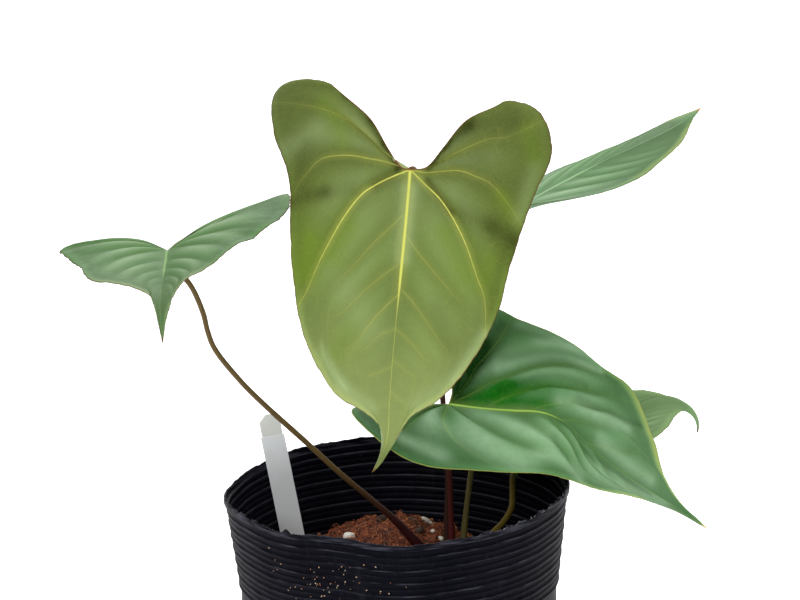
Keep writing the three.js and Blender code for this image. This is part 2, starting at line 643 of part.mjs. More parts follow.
function makeGrain({ at, size, turn, tilt, seed }, growth = 0) {
  const geometry = new THREE.IcosahedronGeometry(1, 1);
  geometry.deleteAttribute("normal");
  geometry.deleteAttribute("uv");
  const lump = mergeVertices(geometry, 1e-4);
  const places = lump.attributes.position;
  for (let i = 0; i < places.count; i += 1) {
    const rough = 1 + GRAIN_ROUGHNESS * (Math.sin(seed * (i + 1) * GOLDEN_ANGLE) - 1);
    places.setXYZ(
      i,
      places.getX(i) * (size[0] * rough * 0.5 + growth),
      places.getY(i) * (size[1] * rough * 0.5 + growth),
      places.getZ(i) * (size[2] * rough * 0.5 + growth),
    );
  }
  lump.rotateZ(turn * DEG);
  lump.rotateY(tilt * DEG);
  lump.translate(at[0], at[1], mixHeight(at[0], at[1]) + size[2] * GRAIN_RISE);
  return lump;
}

// The label: a tag with a slightly wider band of tape round it and clipped top corners
function makeLabel(growth = 0) {
  const tag = LABEL_WIDTH / 2 + growth;
  const tape = LABEL_TAPE_WIDTH / 2 + growth;
  const top = LABEL_LENGTH + growth;
  const band = LABEL_LENGTH - LABEL_TAPE_TOP;
  const outline = new THREE.Shape([
    [-tag * 0.3, -growth], [tag * 0.3, -growth], [tag, LABEL_POINT], [tag, LABEL_TAPE_FOOT],
    [tape, LABEL_TAPE_FOOT], [tape, band], [tag, band], [tag, top - LABEL_CLIP[0]],
    [tag - LABEL_CLIP[0], top], [-tag + LABEL_CLIP[1], top], [-tag, top - LABEL_CLIP[1]], [-tag, band],
    [-tape, band], [-tape, LABEL_TAPE_FOOT], [-tag, LABEL_TAPE_FOOT], [-tag, LABEL_POINT],
  ].map(([x, y]) => new THREE.Vector2(x, y)));
  const depth = LABEL_THICKNESS + 2 * growth;
  const geometry = new THREE.ExtrudeGeometry(outline, { depth, bevelEnabled: false, steps: 1 });
  geometry.translate(0, 0, -depth / 2);
  geometry.rotateX(Math.PI / 2);
  geometry.rotateY(-LABEL_LEAN * DEG);
  geometry.translate(...LABEL_FOOT);
  return geometry;
}

function piece(name, geometry, color, roughness, metalness = 0) {
  const mesh = new THREE.Mesh(geometry, new THREE.MeshStandardMaterial({ color, roughness, metalness }));
  mesh.name = name;
  return mesh;
}

const plant = new THREE.Group();

plant.add(piece("pot", makePot(), 0x14151c, 0.5));

const mixCuts = [
  makeStemBody(SEAT_GAP),
  makeLabel(SEAT_GAP),
  ...stalkHoles(),
  ...Object.values(GRAINS).map((grain) => makeGrain(grain, SEAT_GAP)),
];
plant.add(piece("potting_mix", makeMix(mixCuts), 0x96502a, 0.95));
for (const [name, grain] of Object.entries(GRAINS)) {
  plant.add(piece(name, makeGrain(grain), grain.color, 0.9));
}

plant.add(piece("stem", cut(makeStemBody(), stalkHoles()), 0x6a4a3a, 0.8));
for (const [name, stalk] of Object.entries(STALKS)) {
  plant.add(piece(name, makeStalk(stalkRoute(stalk)), stalk.color, 0.5));
}

for (const [name, leaf] of Object.entries(LEAVES)) {
  plant.add(piece(name, makeBlade(leaf), leaf.color, 0.45));
}

plant.add(piece("plant_label", makeLabel(), 0xd6d6d0, 0.4));

export default plant;
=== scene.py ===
# %% [markdown]
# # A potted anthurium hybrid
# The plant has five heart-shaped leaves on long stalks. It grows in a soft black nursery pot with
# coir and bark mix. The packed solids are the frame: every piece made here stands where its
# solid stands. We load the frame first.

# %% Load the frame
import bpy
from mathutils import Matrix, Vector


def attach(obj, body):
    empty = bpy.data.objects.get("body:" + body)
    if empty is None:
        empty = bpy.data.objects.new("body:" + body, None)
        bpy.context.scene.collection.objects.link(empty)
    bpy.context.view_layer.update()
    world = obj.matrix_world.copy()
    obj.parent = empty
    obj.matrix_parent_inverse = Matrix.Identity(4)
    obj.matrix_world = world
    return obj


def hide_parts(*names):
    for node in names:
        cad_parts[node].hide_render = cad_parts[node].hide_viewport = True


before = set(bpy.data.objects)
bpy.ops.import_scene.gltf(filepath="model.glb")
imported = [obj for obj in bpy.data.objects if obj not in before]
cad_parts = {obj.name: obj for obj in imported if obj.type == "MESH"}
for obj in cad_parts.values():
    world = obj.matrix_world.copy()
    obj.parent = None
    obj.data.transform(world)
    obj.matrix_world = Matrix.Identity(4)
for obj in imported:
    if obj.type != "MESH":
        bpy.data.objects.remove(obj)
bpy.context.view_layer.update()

from types import SimpleNamespace

import bpy
import numpy as np

MM = 0.001
DEG = np.pi / 180
print("solids in the frame:", len(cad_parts))

# %% [markdown]
# ## Camera, floor and light
# A photographer in a studio stood about two metres off with a long lens and looked down a
# little. Soft light came from above and in front, and the white table shows no edge. We copy
# that with three large lamps, a pale world and a white floor. The lamp behind the plant gives
# the leaves that lie flat their pale sheen.

# %% Camera
CAMERA_PLACE = (0.0018, -1.893, 0.7995)
CAMERA_PITCH = 15.9
CAMERA_LENS = 172.4
camera_data = bpy.data.cameras.new("camera")
camera_data.lens = CAMERA_LENS
camera_data.sensor_width = 36
camera = bpy.data.objects.new("camera", camera_data)
camera.location = CAMERA_PLACE
camera.rotation_euler = ((90 - CAMERA_PITCH) * DEG, 0, 0)
bpy.context.scene.collection.objects.link(camera)
bpy.context.scene.camera = camera
bpy.context.scene.view_settings.view_transform = "Standard"
print("camera looks down by", CAMERA_PITCH, "degrees")


# %% Lamps and world
def soft_lamp(name, place, aim, size, watts):
    """A square lamp at place that faces the point aim."""
    data = bpy.data.lights.new(name, "AREA")
    data.shape = "SQUARE"
    data.size = size
    data.energy = watts
    lamp = bpy.data.objects.new(name, data)
    lamp.location = place
    direction = Vector(aim) - Vector(place)
    lamp.rotation_euler = direction.to_track_quat("-Z", "Y").to_euler()
    bpy.context.scene.collection.objects.link(lamp)


soft_lamp("lamp_above", (0.2, 0.1, 1.6), (0.0, 0.0, 0.2), 1.2, 15)
soft_lamp("lamp_front", (-1.0, -1.7, 1.3), (0.0, 0.0, 0.25), 0.9, 15)
soft_lamp("lamp_back", (0.1, 1.7, 1.1), (0.0, 0.0, 0.25), 1.4, 12)
world = bpy.data.worlds.new("world")
bpy.context.scene.world = world
world.use_nodes = True
backdrop = world.node_tree.nodes["Background"].inputs
backdrop["Color"].default_value = (1.0, 1.0, 1.0, 1)
backdrop["Strength"].default_value = 0.5
print("lamps:", len(bpy.data.lights))

# %% [markdown]
# ## A small language for finishes
# A finish is a tree of shader nodes. Written by hand such trees get long, so a small class wraps
# a socket and turns Python arithmetic into Math nodes. One method adds any other node.


# %% Shader maths
class Value:
    """A number that varies over a surface. Arithmetic on it adds Math nodes."""

    def __init__(self, finish, socket):
        self.finish = finish
        self.socket = socket

    def math(self, operation, *others):
        return self.finish.add("ShaderNodeMath", {"operation": operation}, [self, *others])

    def __add__(self, other):
        return self.math("ADD", other)

    def __sub__(self, other):
        return self.math("SUBTRACT", other)

    def __mul__(self, other):
        return self.math("MULTIPLY", other)

    def __truediv__(self, other):
        return self.math("DIVIDE", other)

    def __rsub__(self, other):
        return self.finish.add("ShaderNodeMath", {"operation": "SUBTRACT"}, [other, self])

    __radd__ = __add__
    __rmul__ = __mul__

    def power(self, exponent):
        return self.math("POWER", exponent)

    def clamp(self):
        return self.finish.add("ShaderNodeClamp", {}, [self, 0.0, 1.0])

    def ramp(self, low, high):
        """0 below low and 1 above high, with a smooth step between them. low may exceed high."""
        t = ((self - low) / (high - low)).clamp()
        return t * t * (3 - 2 * t)


class Finish:
    """A material and its node tree, with one method that adds any node."""

    def __init__(self, name, **constants):
        self.material = bpy.data.materials.new(name)
        self.material.use_nodes = True
        self.nodes = self.material.node_tree.nodes
        self.links = self.material.node_tree.links
        self.shader = self.nodes["Principled BSDF"]
        for key, value in constants.items():
            self.shader.inputs[key.replace("_", " ")].default_value = value

    def put(self, socket, value):
        if isinstance(value, Value):
            self.links.new(value.socket, socket)
        elif hasattr(value, "__len__") and len(value) == 3 and socket.type == "RGBA":
            socket.default_value = (*value, 1)
        else:
            socket.default_value = value

    def add(self, kind, settings, sockets, output=0):
        """Adds a node: its settings first, then the values or links of its sockets."""
        node = self.nodes.new(kind)
        for key, value in settings.items():
            setattr(node, key, value)
        pairs = sockets.items() if isinstance(sockets, dict) else enumerate(sockets)
        for key, value in pairs:
            self.put(node.inputs[key], value)
        return Value(self, node.outputs[output])

    def attribute(self, name):
        return self.add("ShaderNodeAttribute", {"attribute_name": name}, {}, "Fac")

    def flat(self):
        """The piece's own flat coordinates, one unit for 100 mm."""
        return self.add("ShaderNodeUVMap", {"uv_map": "flat"}, {})

    def place(self):
        """The point's own place in metres."""
        return self.add("ShaderNodeTexCoord", {}, {}, "Object")

    def stretched(self, vector, scale):
        return self.add("ShaderNodeVectorMath", {"operation": "MULTIPLY"}, [vector, scale])

    def noise(self, vector, scale, detail=4.0, roughness=0.55):
        return self.add("ShaderNodeTexNoise", {}, {
            "Vector": vector, "Scale": scale, "Detail": detail, "Roughness": roughness})

    def cells(self, vector, scale, feature="DISTANCE_TO_EDGE"):
        return self.add("ShaderNodeTexVoronoi", {"feature": feature}, {
            "Vector": vector, "Scale": scale}, "Distance")

    def mix(self, share, a, b):
        """The colour a where share is 0 and b where it is 1."""
        return self.add("ShaderNodeMix", {"data_type": "RGBA"}, {0: share, 6: a, 7: b}, 2)

    def bump(self, height, distance, strength=1.0, normal=None):
        sockets = {"Strength": strength, "Distance": distance, "Height": height}
        if normal is not None:
            sockets["Normal"] = normal
        return self.add("ShaderNodeBump", {}, sockets)

    def wear(self, **sockets):
        """Feeds the shader's sockets and hands over the material."""
        for key, value in sockets.items():
            self.put(self.shader.inputs[key.replace("_", " ")], value)
        return self.material


print("a finish can add", len([key for key in vars(Finish) if key[0] != "_"]), "kinds of step")

# %% [markdown]
# ## Floor
# The table is a matt white sheet. It carries no pattern that one would notice, but a perfectly
# even white looks false near the pot, so its roughness wavers a little. It glows faintly, so
# that it stays white where the lamps do not reach.

# %% Floor
FLOOR_REACH = 6.0
floor_mesh = bpy.data.meshes.new("floor")
corners = [(-FLOOR_REACH, -FLOOR_REACH, 0), (FLOOR_REACH, -FLOOR_REACH, 0),
           (FLOOR_REACH, FLOOR_REACH, 0), (-FLOOR_REACH, FLOOR_REACH, 0)]
floor_mesh.from_pydata(corners, [], [(0, 1, 2, 3)])
floor = bpy.data.objects.new("floor", floor_mesh)
bpy.context.scene.collection.objects.link(floor)
table_finish = Finish("table_white", Base_Color=(0.9, 0.9, 0.9, 1),
                      Emission_Color=(1, 1, 1, 1), Emission_Strength=0.6)
haze = table_finish.noise(table_finish.place(), 6.0)
floor_mesh.materials.append(table_finish.wear(Roughness=haze * 0.1 + 0.75))
print("floor reaches", FLOOR_REACH, "m")

# %% [markdown]
# ## Meshes from grids
# Almost every piece here is a surface over a grid of two parameters. Its points come as one
# array, and its faces join each cell's four corners. A tube closes on itself in one direction.


# %% Meshes and pieces
def mesh_from(name, points, faces, smooth):
    """A mesh from points in mm and faces as rows of four indices, where -1 fills a triangle."""
    mesh = bpy.data.meshes.new(name)
    faces = np.asarray(faces, np.int32)
    used = faces >= 0
    sizes = used.sum(1)
    starts = np.concatenate([[0], np.cumsum(sizes)[:-1]])
    corner = faces[used]
    mesh.vertices.add(len(points))
    mesh.vertices.foreach_set("co", (np.asarray(points) * MM).astype(np.float32).ravel())
    mesh.loops.add(len(corner))
    mesh.loops.foreach_set("vertex_index", corner)
    mesh.polygons.add(len(faces))
    mesh.polygons.foreach_set("loop_start", starts.astype(np.int32))
    mesh.polygons.foreach_set("loop_total", sizes.astype(np.int32))
    mesh.polygons.foreach_set("use_smooth", np.full(len(faces), smooth))
    mesh.update(calc_edges=True)
    mesh.validate()
    return mesh


def put_mesh(name, points, faces, finish, nodes=(), attributes=None, flat=None, smooth=True):
    """A piece that rides on the plant's body, with a number per point for each attribute and
    flat coordinates, in the finish given. It stands for the solids that nodes names."""
    mesh = mesh_from(name, points, faces, smooth)
    for key, values in (attributes or {}).items():
        layer = mesh.attributes.new(key, "FLOAT", "POINT")
        layer.data.foreach_set("value", np.asarray(values, np.float32).ravel())
    if flat is not None:
        layer = mesh.uv_layers.new(name="flat")
        index = np.empty(len(mesh.loops), np.int32)
        mesh.loops.foreach_get("vertex_index", index)
        layer.data.foreach_set("uv", np.asarray(flat, np.float32)[index].ravel())
    mesh.materials.append(finish)
    piece = bpy.data.objects.new(name, mesh)
    bpy.context.scene.collection.objects.link(piece)
    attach(piece, "root")
    if nodes:
        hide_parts(*nodes)
    triangles = int(((np.asarray(faces) >= 0).sum(1) - 2).sum())
    size = np.ptp(np.asarray(points), axis=0)
    print(f"{name}: {triangles} triangles, {size[0]:.0f} x {size[1]:.0f} x {size[2]:.0f} mm")


print("arrays are in mm, and a mesh takes them times", MM)

# %% [markdown]
# Faces come from counting alone: a cell of the grid has four corners, a fan closes a ring, and
# points that share a place are joined so that shading runs over the seam.


# %% Faces and shared points
def grid_faces(rows, columns, around=False):
    """Faces of a grid of rows x columns points. around joins the last column to the first."""
    i = np.arange(rows - 1)[:, None]
    j = np.arange(columns if around else columns - 1)[None, :]
    k = (j + 1) % columns
    quad = np.stack(np.broadcast_arrays(i * columns + j, i * columns + k,
                                        (i + 1) * columns + k, (i + 1) * columns + j), -1)
    return quad.reshape(-1, 4)


def fans(first, centre, count, flip):
    """Triangles from a ring of count points that starts at first to a centre point."""
    i = np.arange(count)
    ring = np.stack([first + i, first + (i + 1) % count], -1)
    if flip:
        ring = ring[:, ::-1]
    return np.column_stack([ring, np.full(count, centre), np.full(count, -1)])


def round_angles(count):
    """Even steps round a circle, in radians."""
    return 2 * np.pi * np.arange(count) / count


def capped_rings(rings, first_end, last_end):
    """Points and faces of stacked rings, each end closed by a fan to its own centre point. The
    faces look outwards where the rings run anticlockwise and rise."""
    rings = np.asarray(rings)
    rows, around = rings.shape[:2]
    points = np.vstack([rings.reshape(-1, 3), [first_end], [last_end]])
    faces = np.vstack([grid_faces(rows, around, around=True),
                       fans(0, rows * around, around, True),
                       fans((rows - 1) * around, rows * around + 1, around, False)])
    return points, faces


SAME_PLACE = 1e-3


def shared_points(points):
    """Which points to keep so that each place has one, and each old point's new number."""
    key = np.round(points / SAME_PLACE).astype(np.int64)
    _, first, inverse = np.unique(key, axis=0, return_index=True, return_inverse=True)
    return first, inverse.ravel()


def tidy_faces(faces):
    """Drops a repeated corner of each face, and faces with fewer than three corners."""
    again = faces == np.roll(faces, -1, axis=1)
    order = np.argsort(again, axis=1, kind="stable")
    sorted_faces = np.take_along_axis(faces, order, 1)
    sorted_faces[np.take_along_axis(again, order, 1)] = -1
    return sorted_faces[(sorted_faces >= 0).sum(1) >= 3]


def flip_faces(faces):
    """The same faces turned round, with the filler of a triangle kept last."""
    turned = faces[:, ::-1].copy()
    triangle = turned[:, 0] < 0
    turned[triangle] = np.roll(turned[triangle], -1, axis=1)
    return turned


def vertex_normals(points, faces):
    """Mean of the normals of the faces round a point, weighted by their size."""
    last = np.where(faces[:, 3] < 0, faces[:, 0], faces[:, 3])
    corner = points[faces[:, :3]]
    cross = np.cross(corner[:, 2] - corner[:, 0], points[last] - corner[:, 1])
    total = np.zeros_like(points)
    for k in range(4):
        used = faces[:, k] >= 0
        np.add.at(total, faces[used, k], cross[used])
    return total / (np.linalg.norm(total, axis=1, keepdims=True) + 1e-12)


print("faces of a grid of 3 x 4 points:", len(grid_faces(3, 4)))

# %% [markdown]
# Curves and waves are small functions too: an eased step, a curve through given points and an
# uneven wave. Every wave takes a seed, so each run makes the same plant.


# %% Curves and waves
def smooth_step(x):
    """0 below 0, 1 above 1 and an even slope at both ends between them."""
    x = np.clip(x, 0, 1)
    return x * x * (3 - 2 * x)


def through(points, s):
    """A smooth curve through points: each coordinate is the cubic whose slope at a point is half
    the way from the point before to the one after. s runs from 0 to 1 over even steps."""
    p = np.asarray(points, float)
    p = np.vstack([2 * p[0] - p[1], p, 2 * p[-1] - p[-2]])
    last = len(p) - 3
    at = np.clip(np.asarray(s, float), 0, 1) * last
    i = np.minimum(at.astype(int), last - 1)
    f = (at - i)[..., None]
    a, b, c, d = p[i], p[i + 1], p[i + 2], p[i + 3]
    square = 2 * a - 5 * b + 4 * c - d
    cube = 3 * b - a - 3 * c + d
    return 0.5 * (2 * b + (c - a) * f + square * f**2 + cube * f**3)


def ripple(x, seed, waves=(3, 5, 8, 13, 21)):
    """An uneven wave of about unit height: a sum of sines whose phases come from the seed."""
    phases = np.random.default_rng(seed).uniform(0, 2 * np.pi, len(waves))
    total = sum(np.sin(2 * np.pi * wave * x + phase) / (1 + 0.25 * k)
                for k, (wave, phase) in enumerate(zip(waves, phases)))
    return total / 1.8


def turned(points, degrees, first=0, second=1):
    """The points turned from the axis first towards the axis second: a plane rotation."""
    c, s = np.cos(degrees * DEG), np.sin(degrees * DEG)
    result = np.array(points, float)
    result[:, first] = points[:, first] * c - points[:, second] * s
    result[:, second] = points[:, first] * s + points[:, second] * c
    return result


print("height half way over a bow:", float(through([(0, 0), (1, 1), (2, 0)], 0.5)[1]))

# %% [markdown]
# ## The leaves' own numbers
# Each leaf is drawn flat first: half an outline from the notch over the stalk round the lobe to
# the tip, and the side veins from the midrib or the stalk to the margin. Then come the bends
# that carry the flat leaf into its place. The outlines and bends are those of the solids.
# Lengths are in mm and angles in degrees. dip, droop and bend turn the midrib down, yaw turns it
# to the side, and fold and curl shape the half blade. waves and ragged loosen the margin, quilt
# lifts the blade between its veins, and pinch narrows the tip.
# A vein is [where its foot is along the midrib, the flat points that it passes, where it meets
# the margin as a share of the outline, how strongly it shows]. A stroke is a soft line of
# colour: (the two ends' flat points, its width, its strength). The dark strokes are mostly
# painted shade in folds, creases and along the notch, with some darker tone; the pale ones are
# mostly painted sheen, with some paler tone; the fresh ones are a greener tone.

# %% Leaf numbers
NOTCH_SHAPE = [(0.22, 0.16), (0.33, 0.38), (0.62, 0.74)]

LEAVES = {
    "leaf_main": dict(
        stalk_top=(7, -47, 341), heading=-106, dip=75, roll=0, length=159, half_width=76,
        back=20, droop=8, tip_droop=29, bend=0, bend_at=0.35,
        yaw=12, yaw_along=-14, tip_yaw=45, twist=0,
        waves=0.5, wave_phase=0.4, quilt=1.2, ragged=0.2, pinch=0.5,
        right=dict(
            fold=12, fold_along=0, curl=-35, curl_along=50,
            notch=[(5, -1), (12, -10), (22, -24)],
            margin=[(36, -35), (55, -47), (90, -50), (79, -17), (64, 8), (59, 37),
                    (54, 61), (45, 89), (29, 113), (10, 124), (2, 137), (0, 159)],
            strokes=dict(
                dark=[(6, -1, 13, -12, 2.2, 0.9), (13, -12, 21, -24, 3.2, 0.75),
                      (21, -24, 37, -36, 3.5, 0.4), (60, 21, 43, 15, 4.5, 0.4),
                      (43, 15, 29, 12, 4.5, 0.22), (62, 16, 60, 36, 3.0, 0.3),
                      (17, 9, 7, 2, 3.0, 0.6), (56, -7, 57, 12, 5.0, 0.2)],
                pale=[(1, 10, 1, 44, 4.0, 0.4), (36, 95, 24, 110, 2.6, 0.6),
                      (24, 110, 9, 120, 3.0, 0.5), (50, -18, 69, -6, 7.0, 0.25),
                      (27, 63, 12, 81, 9.0, 0.2)],
                fresh=[(47, 40, 48, 58, 6.0, 0.6), (28, 31, 34, 46, 6.0, 0.5),
                       (48, -32, 35, -13, 6.0, 0.35), (23, 83, 29, 96, 5.0, 0.3)]),
            veins=[
                [0, [(14, -8), (22, -15), (32, -22), (42, -27), (55, -31), (68, -34)], 0.217, 0.45],
                [0, [(13, -3), (21, -4), (31, -5), (41, -4), (48, -1), (55, 8)], 0.4, 0.6],
                [0, [(12, 6), (23, 14), (31, 26), (37, 39), (42, 52), (46, 65)], 0.59, 1.0],
                [0.13, [(7, 29), (15, 38), (23, 49), (30, 58), (36, 69)], 0.688, 0.35],
                [0.29, [(8, 53), (17, 62), (26, 73), (33, 83)], 0.758, 0.35],
                [0.39, [(6, 69), (12, 77), (18, 87), (24, 97)], 0.818, 0.4],
                [0.5, [(8, 84), (14, 91), (20, 99)], 0.85, 0.25],
                [0.62, [(6, 102), (12, 108)], 0.895, 0.25],
                [0.73, [(2, 118), (6, 122)], 0.935, 0.15]]),
        left=dict(
            fold=12, fold_along=0, curl=-35, curl_along=50,
            notch=[(9, -2), (17, -12), (27, -25)],
            margin=[(41, -33), (49, -37), (64, -32), (71, -13), (63, 12), (57, 39),
                    (53, 65), (43, 91), (28, 111), (11, 124), (5, 139), (0, 159)],
            strokes=dict(
                dark=[(10, -2, 18, -14, 2.6, 0.95), (18, -14, 29, -23, 4.5, 0.65),
                      (29, -23, 49, -26, 6.0, 0.3), (58, 31, 45, 24, 5.0, 0.4),
                      (56, 40, 56, 29, 4.0, 0.35), (45, 24, 29, 19, 5.0, 0.3),
                      (10, 5, 24, 19, 2.2, 0.6), (16, -3, 36, -7, 5.0, 0.25),
                      (22, 67, 31, 84, 6.0, 0.2)],
                pale=[(2, 10, 1, 44, 4.2, 0.45), (48, 76, 35, 100, 2.8, 0.45),
                      (33, 102, 14, 116, 4.0, 0.3), (63, -4, 58, 18, 4.0, 0.2)],
                fresh=[(22, 30, 34, 49, 6.0, 0.5), (59, -23, 63, -9, 5.0, 0.4),
                       (47, 9, 54, 18, 4.0, 0.4), (46, 40, 43, 55, 4.0, 0.3)]),
            veins=[
                [0, [(9, -1), (16, -5), (23, -9), (31, -13), (40, -17), (50, -19)], 0.2, 0.5],
                [0, [(8, 1), (16, 0), (26, -1), (34, 1), (42, 4), (50, 11)], 0.4, 0.6],
                [0, [(9, 7), (17, 13), (25, 22), (33, 34), (40, 48), (46, 60)], 0.59, 1.0],
                [0.2, [(9, 41), (18, 49), (28, 58), (36, 67)], 0.68, 0.35],
                [0.37, [(8, 65), (16, 73), (24, 82), (30, 91)], 0.772, 0.35],
                [0.5, [(9, 85), (17, 92), (23, 98)], 0.823, 0.3],
                [0.6, [(8, 100), (14, 106)], 0.873, 0.25],
                [0.7, [(5, 114), (10, 119)], 0.915, 0.2]]),
    ),
    "leaf_right": dict(
        stalk_top=(27, 0, 204), heading=2, dip=11, roll=-13, length=166, half_width=73,
        back=-13, droop=-37, tip_droop=3, bend=55, bend_at=0.33,
        yaw=-14, yaw_along=5, tip_yaw=25, twist=-20,
        waves=0.5, wave_phase=1.1, quilt=3.0, ragged=0.12, pinch=0.4,
        right=dict(
            fold=1, fold_along=4, curl=-4, curl_along=-15,
            margin=[(14, -34), (43, -51), (62, -36), (67, -14), (59, 12), (52, 38),
                    (48, 61), (33, 83), (19, 105), (8, 126), (2, 146), (0, 166)],
            strokes=dict(
                dark=[(20, 54, 31, 58, 2.2, 0.2), (3, 61, 12, 84, 2.2, 0.35),
                      (7, 83, 2, 127, 2.0, 0.25), (36, -33, 30, -38, 4.0, 0.5),
                      (23, -28, 5, -10, 4.0, 0.45)],
                pale=[(49, -22, 53, -5, 6.0, 0.4), (23, -5, 45, 35, 9.0, 0.35),
                      (6, 16, 23, 49, 8.0, 0.3), (20, 82, 1, 135, 7.0, 0.35),
                      (37, 45, 35, 75, 5.0, 0.35)],
                fresh=[(14, 0, 31, 2, 3.0, 0.4)]),
            veins=[
                [0, [(10, -10), (22, -17), (37, -22), (49, -23)], 0.24, 0.6],
                [0, [(9, -2), (17, -3), (27, -1), (37, 4), (45, 14)], 0.417, 0.8],
                [0, [(9, 8), (17, 17), (26, 29), (33, 42), (40, 55)], 0.61, 0.35],
                [0.22, [(9, 41), (18, 49), (27, 60), (34, 71)], 0.677, 0.35],
                [0.33, [(9, 57), (17, 66), (25, 77)], 0.733, 0.4],
                [0.42, [(9, 74), (16, 84)], 0.787, 0.4],
                [0.54, [(7, 94), (14, 103)], 0.833, 0.3],
                [0.66, [(5, 112), (9, 118)], 0.885, 0.2]]),
        left=dict(
            fold=21, fold_along=13, curl=-17, curl_along=2,
            notch=[(10, 1), (20, -3), (29, -14)],
            margin=[(40, -27), (60, -38), (81, -32), (84, -5), (75, 22), (58, 43),
                    (48, 66), (47, 95), (29, 118), (12, 132), (6, 147), (0, 166)],
            strokes=dict(
                dark=[(4, 2, 40, 14, 10.0, 0.95), (31, 13, 55, 25, 7.0, 0.4),
                      (11, 27, 28, 66, 2.0, 0.25), (32, 30, 35, 55, 4.0, 0.25),
                      (17, 64, 31, 108, 2.2, 0.3)],
                pale=[(24, 25, 44, 71, 2.6, 0.35), (43, 47, 51, 70, 4.0, 0.35),
                      (11, 57, 24, 99, 4.5, 0.4), (57, 40, 48, 57, 4.0, 0.25),
                      (7, 87, 6, 125, 4.0, 0.35)],
                fresh=[(1, 5, 12, 30, 6.0, 0.95), (12, 30, 14, 57, 6.0, 0.7),
                       (4, 27, 5, 52, 3.0, 0.6)]),
            veins=[
                [0, [(14, 4), (27, 3), (40, -3), (55, -10), (70, -13)], 0.235, 0.5],
                [0, [(14, 8), (26, 13), (37, 20), (47, 27), (57, 32)], 0.422, 0.8],
                [0, [(10, 13), (17, 22), (23, 35), (30, 51), (40, 68)], 0.58, 0.8],
                [0.11, [(7, 28), (13, 42), (18, 56), (27, 70), (34, 82)], 0.667, 0.6],
                [0.25, [(7, 54), (14, 64), (20, 76), (27, 90)], 0.733, 0.6],
                [0.36, [(7, 70), (14, 82), (21, 95)], 0.792, 0.4],
                [0.48, [(6, 92), (11, 106), (16, 114)], 0.848, 0.4],
                [0.62, [(3, 113), (8, 123)], 0.893, 0.3]]),
    ),
    "leaf_left": dict(
        stalk_top=(-116, -20, 292), heading=-89, dip=2, roll=-4, length=115, half_width=63,
        back=9, droop=-5, tip_droop=79, bend=0, bend_at=0.35,
        yaw=0, yaw_along=-1, tip_yaw=-3, twist=2,
        waves=1.0, wave_phase=2.0, quilt=1.8, ragged=0.4,
        right=dict(
            fold=13, fold_along=6, curl=-26, curl_along=5,
            margin=[(24, -21), (41, -21), (55, -17), (55, -6), (51, 10), (45, 27),
                    (41, 46), (34, 67), (20, 78), (6, 82), (2, 99), (0, 115)]),
        left=dict(
            fold=21, fold_along=5, curl=-14, curl_along=-9,
            margin=[(28, -14), (44, -40), (62, -42), (65, -14), (59, 12), (50, 25),
                    (42, 36), (31, 52), (19, 68), (9, 85), (4, 100), (0, 115)]),
    ),
    "leaf_back": dict(
        stalk_top=(61, 70, 289), heading=3, dip=-31, roll=0, length=116, half_width=53,
        back=5, droop=13, tip_droop=-18, bend=0, bend_at=0.35,
        yaw=-8, yaw_along=-11, tip_yaw=-8, twist=-26,
        waves=0.4, wave_phase=0.2, quilt=1.6, ragged=0.15,
        right=dict(
            fold=3, fold_along=-29, curl=34, curl_along=0,
            margin=[(26, -23), (39, -32), (53, -29), (52, -11), (46, 9), (46, 28),
                    (42, 46), (31, 62), (20, 78), (12, 94), (3, 106), (0, 116)]),
        left=dict(
            fold=3, fold_along=-14, curl=-17, curl_along=-30,
            margin=[(22, -22), (34, -30), (49, -28), (48, -9), (42, 12), (34, 32),
                    (25, 47), (16, 62), (12, 78), (12, 93), (9, 106), (0, 116)]),
    ),
    "leaf_low": dict(
        stalk_top=(62, 38, 161), heading=21, dip=-11, roll=2, length=119, half_width=43,
        back=-5, droop=-8, tip_droop=121, bend=0, bend_at=0.35,
        yaw=1, yaw_along=0, tip_yaw=8, twist=-30,
        waves=0.4, wave_phase=1.7, quilt=1.4, ragged=0.2,
        right=dict(
            fold=15, fold_along=-13, curl=-5, curl_along=-3,
            margin=[(15, -19), (25, -25), (36, -23), (38, -9), (35, 9), (32, 29),
                    (31, 46), (26, 68), (18, 84), (8, 94), (2, 103), (0, 119)]),
        left=dict(
            fold=10, fold_along=4, curl=-22, curl_along=-3,
            margin=[(15, -19), (25, -25), (36, -23), (38, -9), (35, 9), (32, 29),
                    (30, 46), (24, 67), (16, 82), (7, 93), (5, 104), (0, 119)]),
    ),
}


# %% [markdown]
# The three leaves with no vein table of their own have the vein plan of their kind, scaled to
# their outline: two veins into the lobe, one long one down the side, then five from the midrib.


# %% Common vein plan
# Foot along the midrib, starting angle, share of the outline at the margin, strength
VEIN_PLAN = [(0, -36, 0.22, 0.8), (0, -10, 0.41, 0.9), (0, 30, 0.59, 1.0), (0.16, 38, 0.68, 0.7),
             (0.30, 42, 0.75, 0.7), (0.42, 45, 0.81, 0.6), (0.54, 48, 0.86, 0.4),
             (0.66, 55, 0.90, 0.3)]
KNEE_SHARE = 0.45


def common_veins(leaf, half):
    """Vein rows for a half outline. Each vein is a bowed line: the quadratic curve from its foot
    to the margin, whose knee lies nearly half way along the vein's starting angle."""
    rows = []
    for foot, angle, share, strength in VEIN_PLAN:
        start = np.array([0, foot * leaf["length"]])
        end = through(half["margin"], share)
        reach = KNEE_SHARE * np.hypot(*(end - start))
        knee = start + reach * np.array([np.cos(angle * DEG), np.sin(angle * DEG)])
        steps = np.array([0.2, 0.4, 0.6, 0.8])[:, None]
        bowed = start * (1 - steps)**2 + knee * 2 * steps * (1 - steps) + end * steps**2
        rows.append([foot, [tuple(p) for p in bowed], share, strength])
    return rows


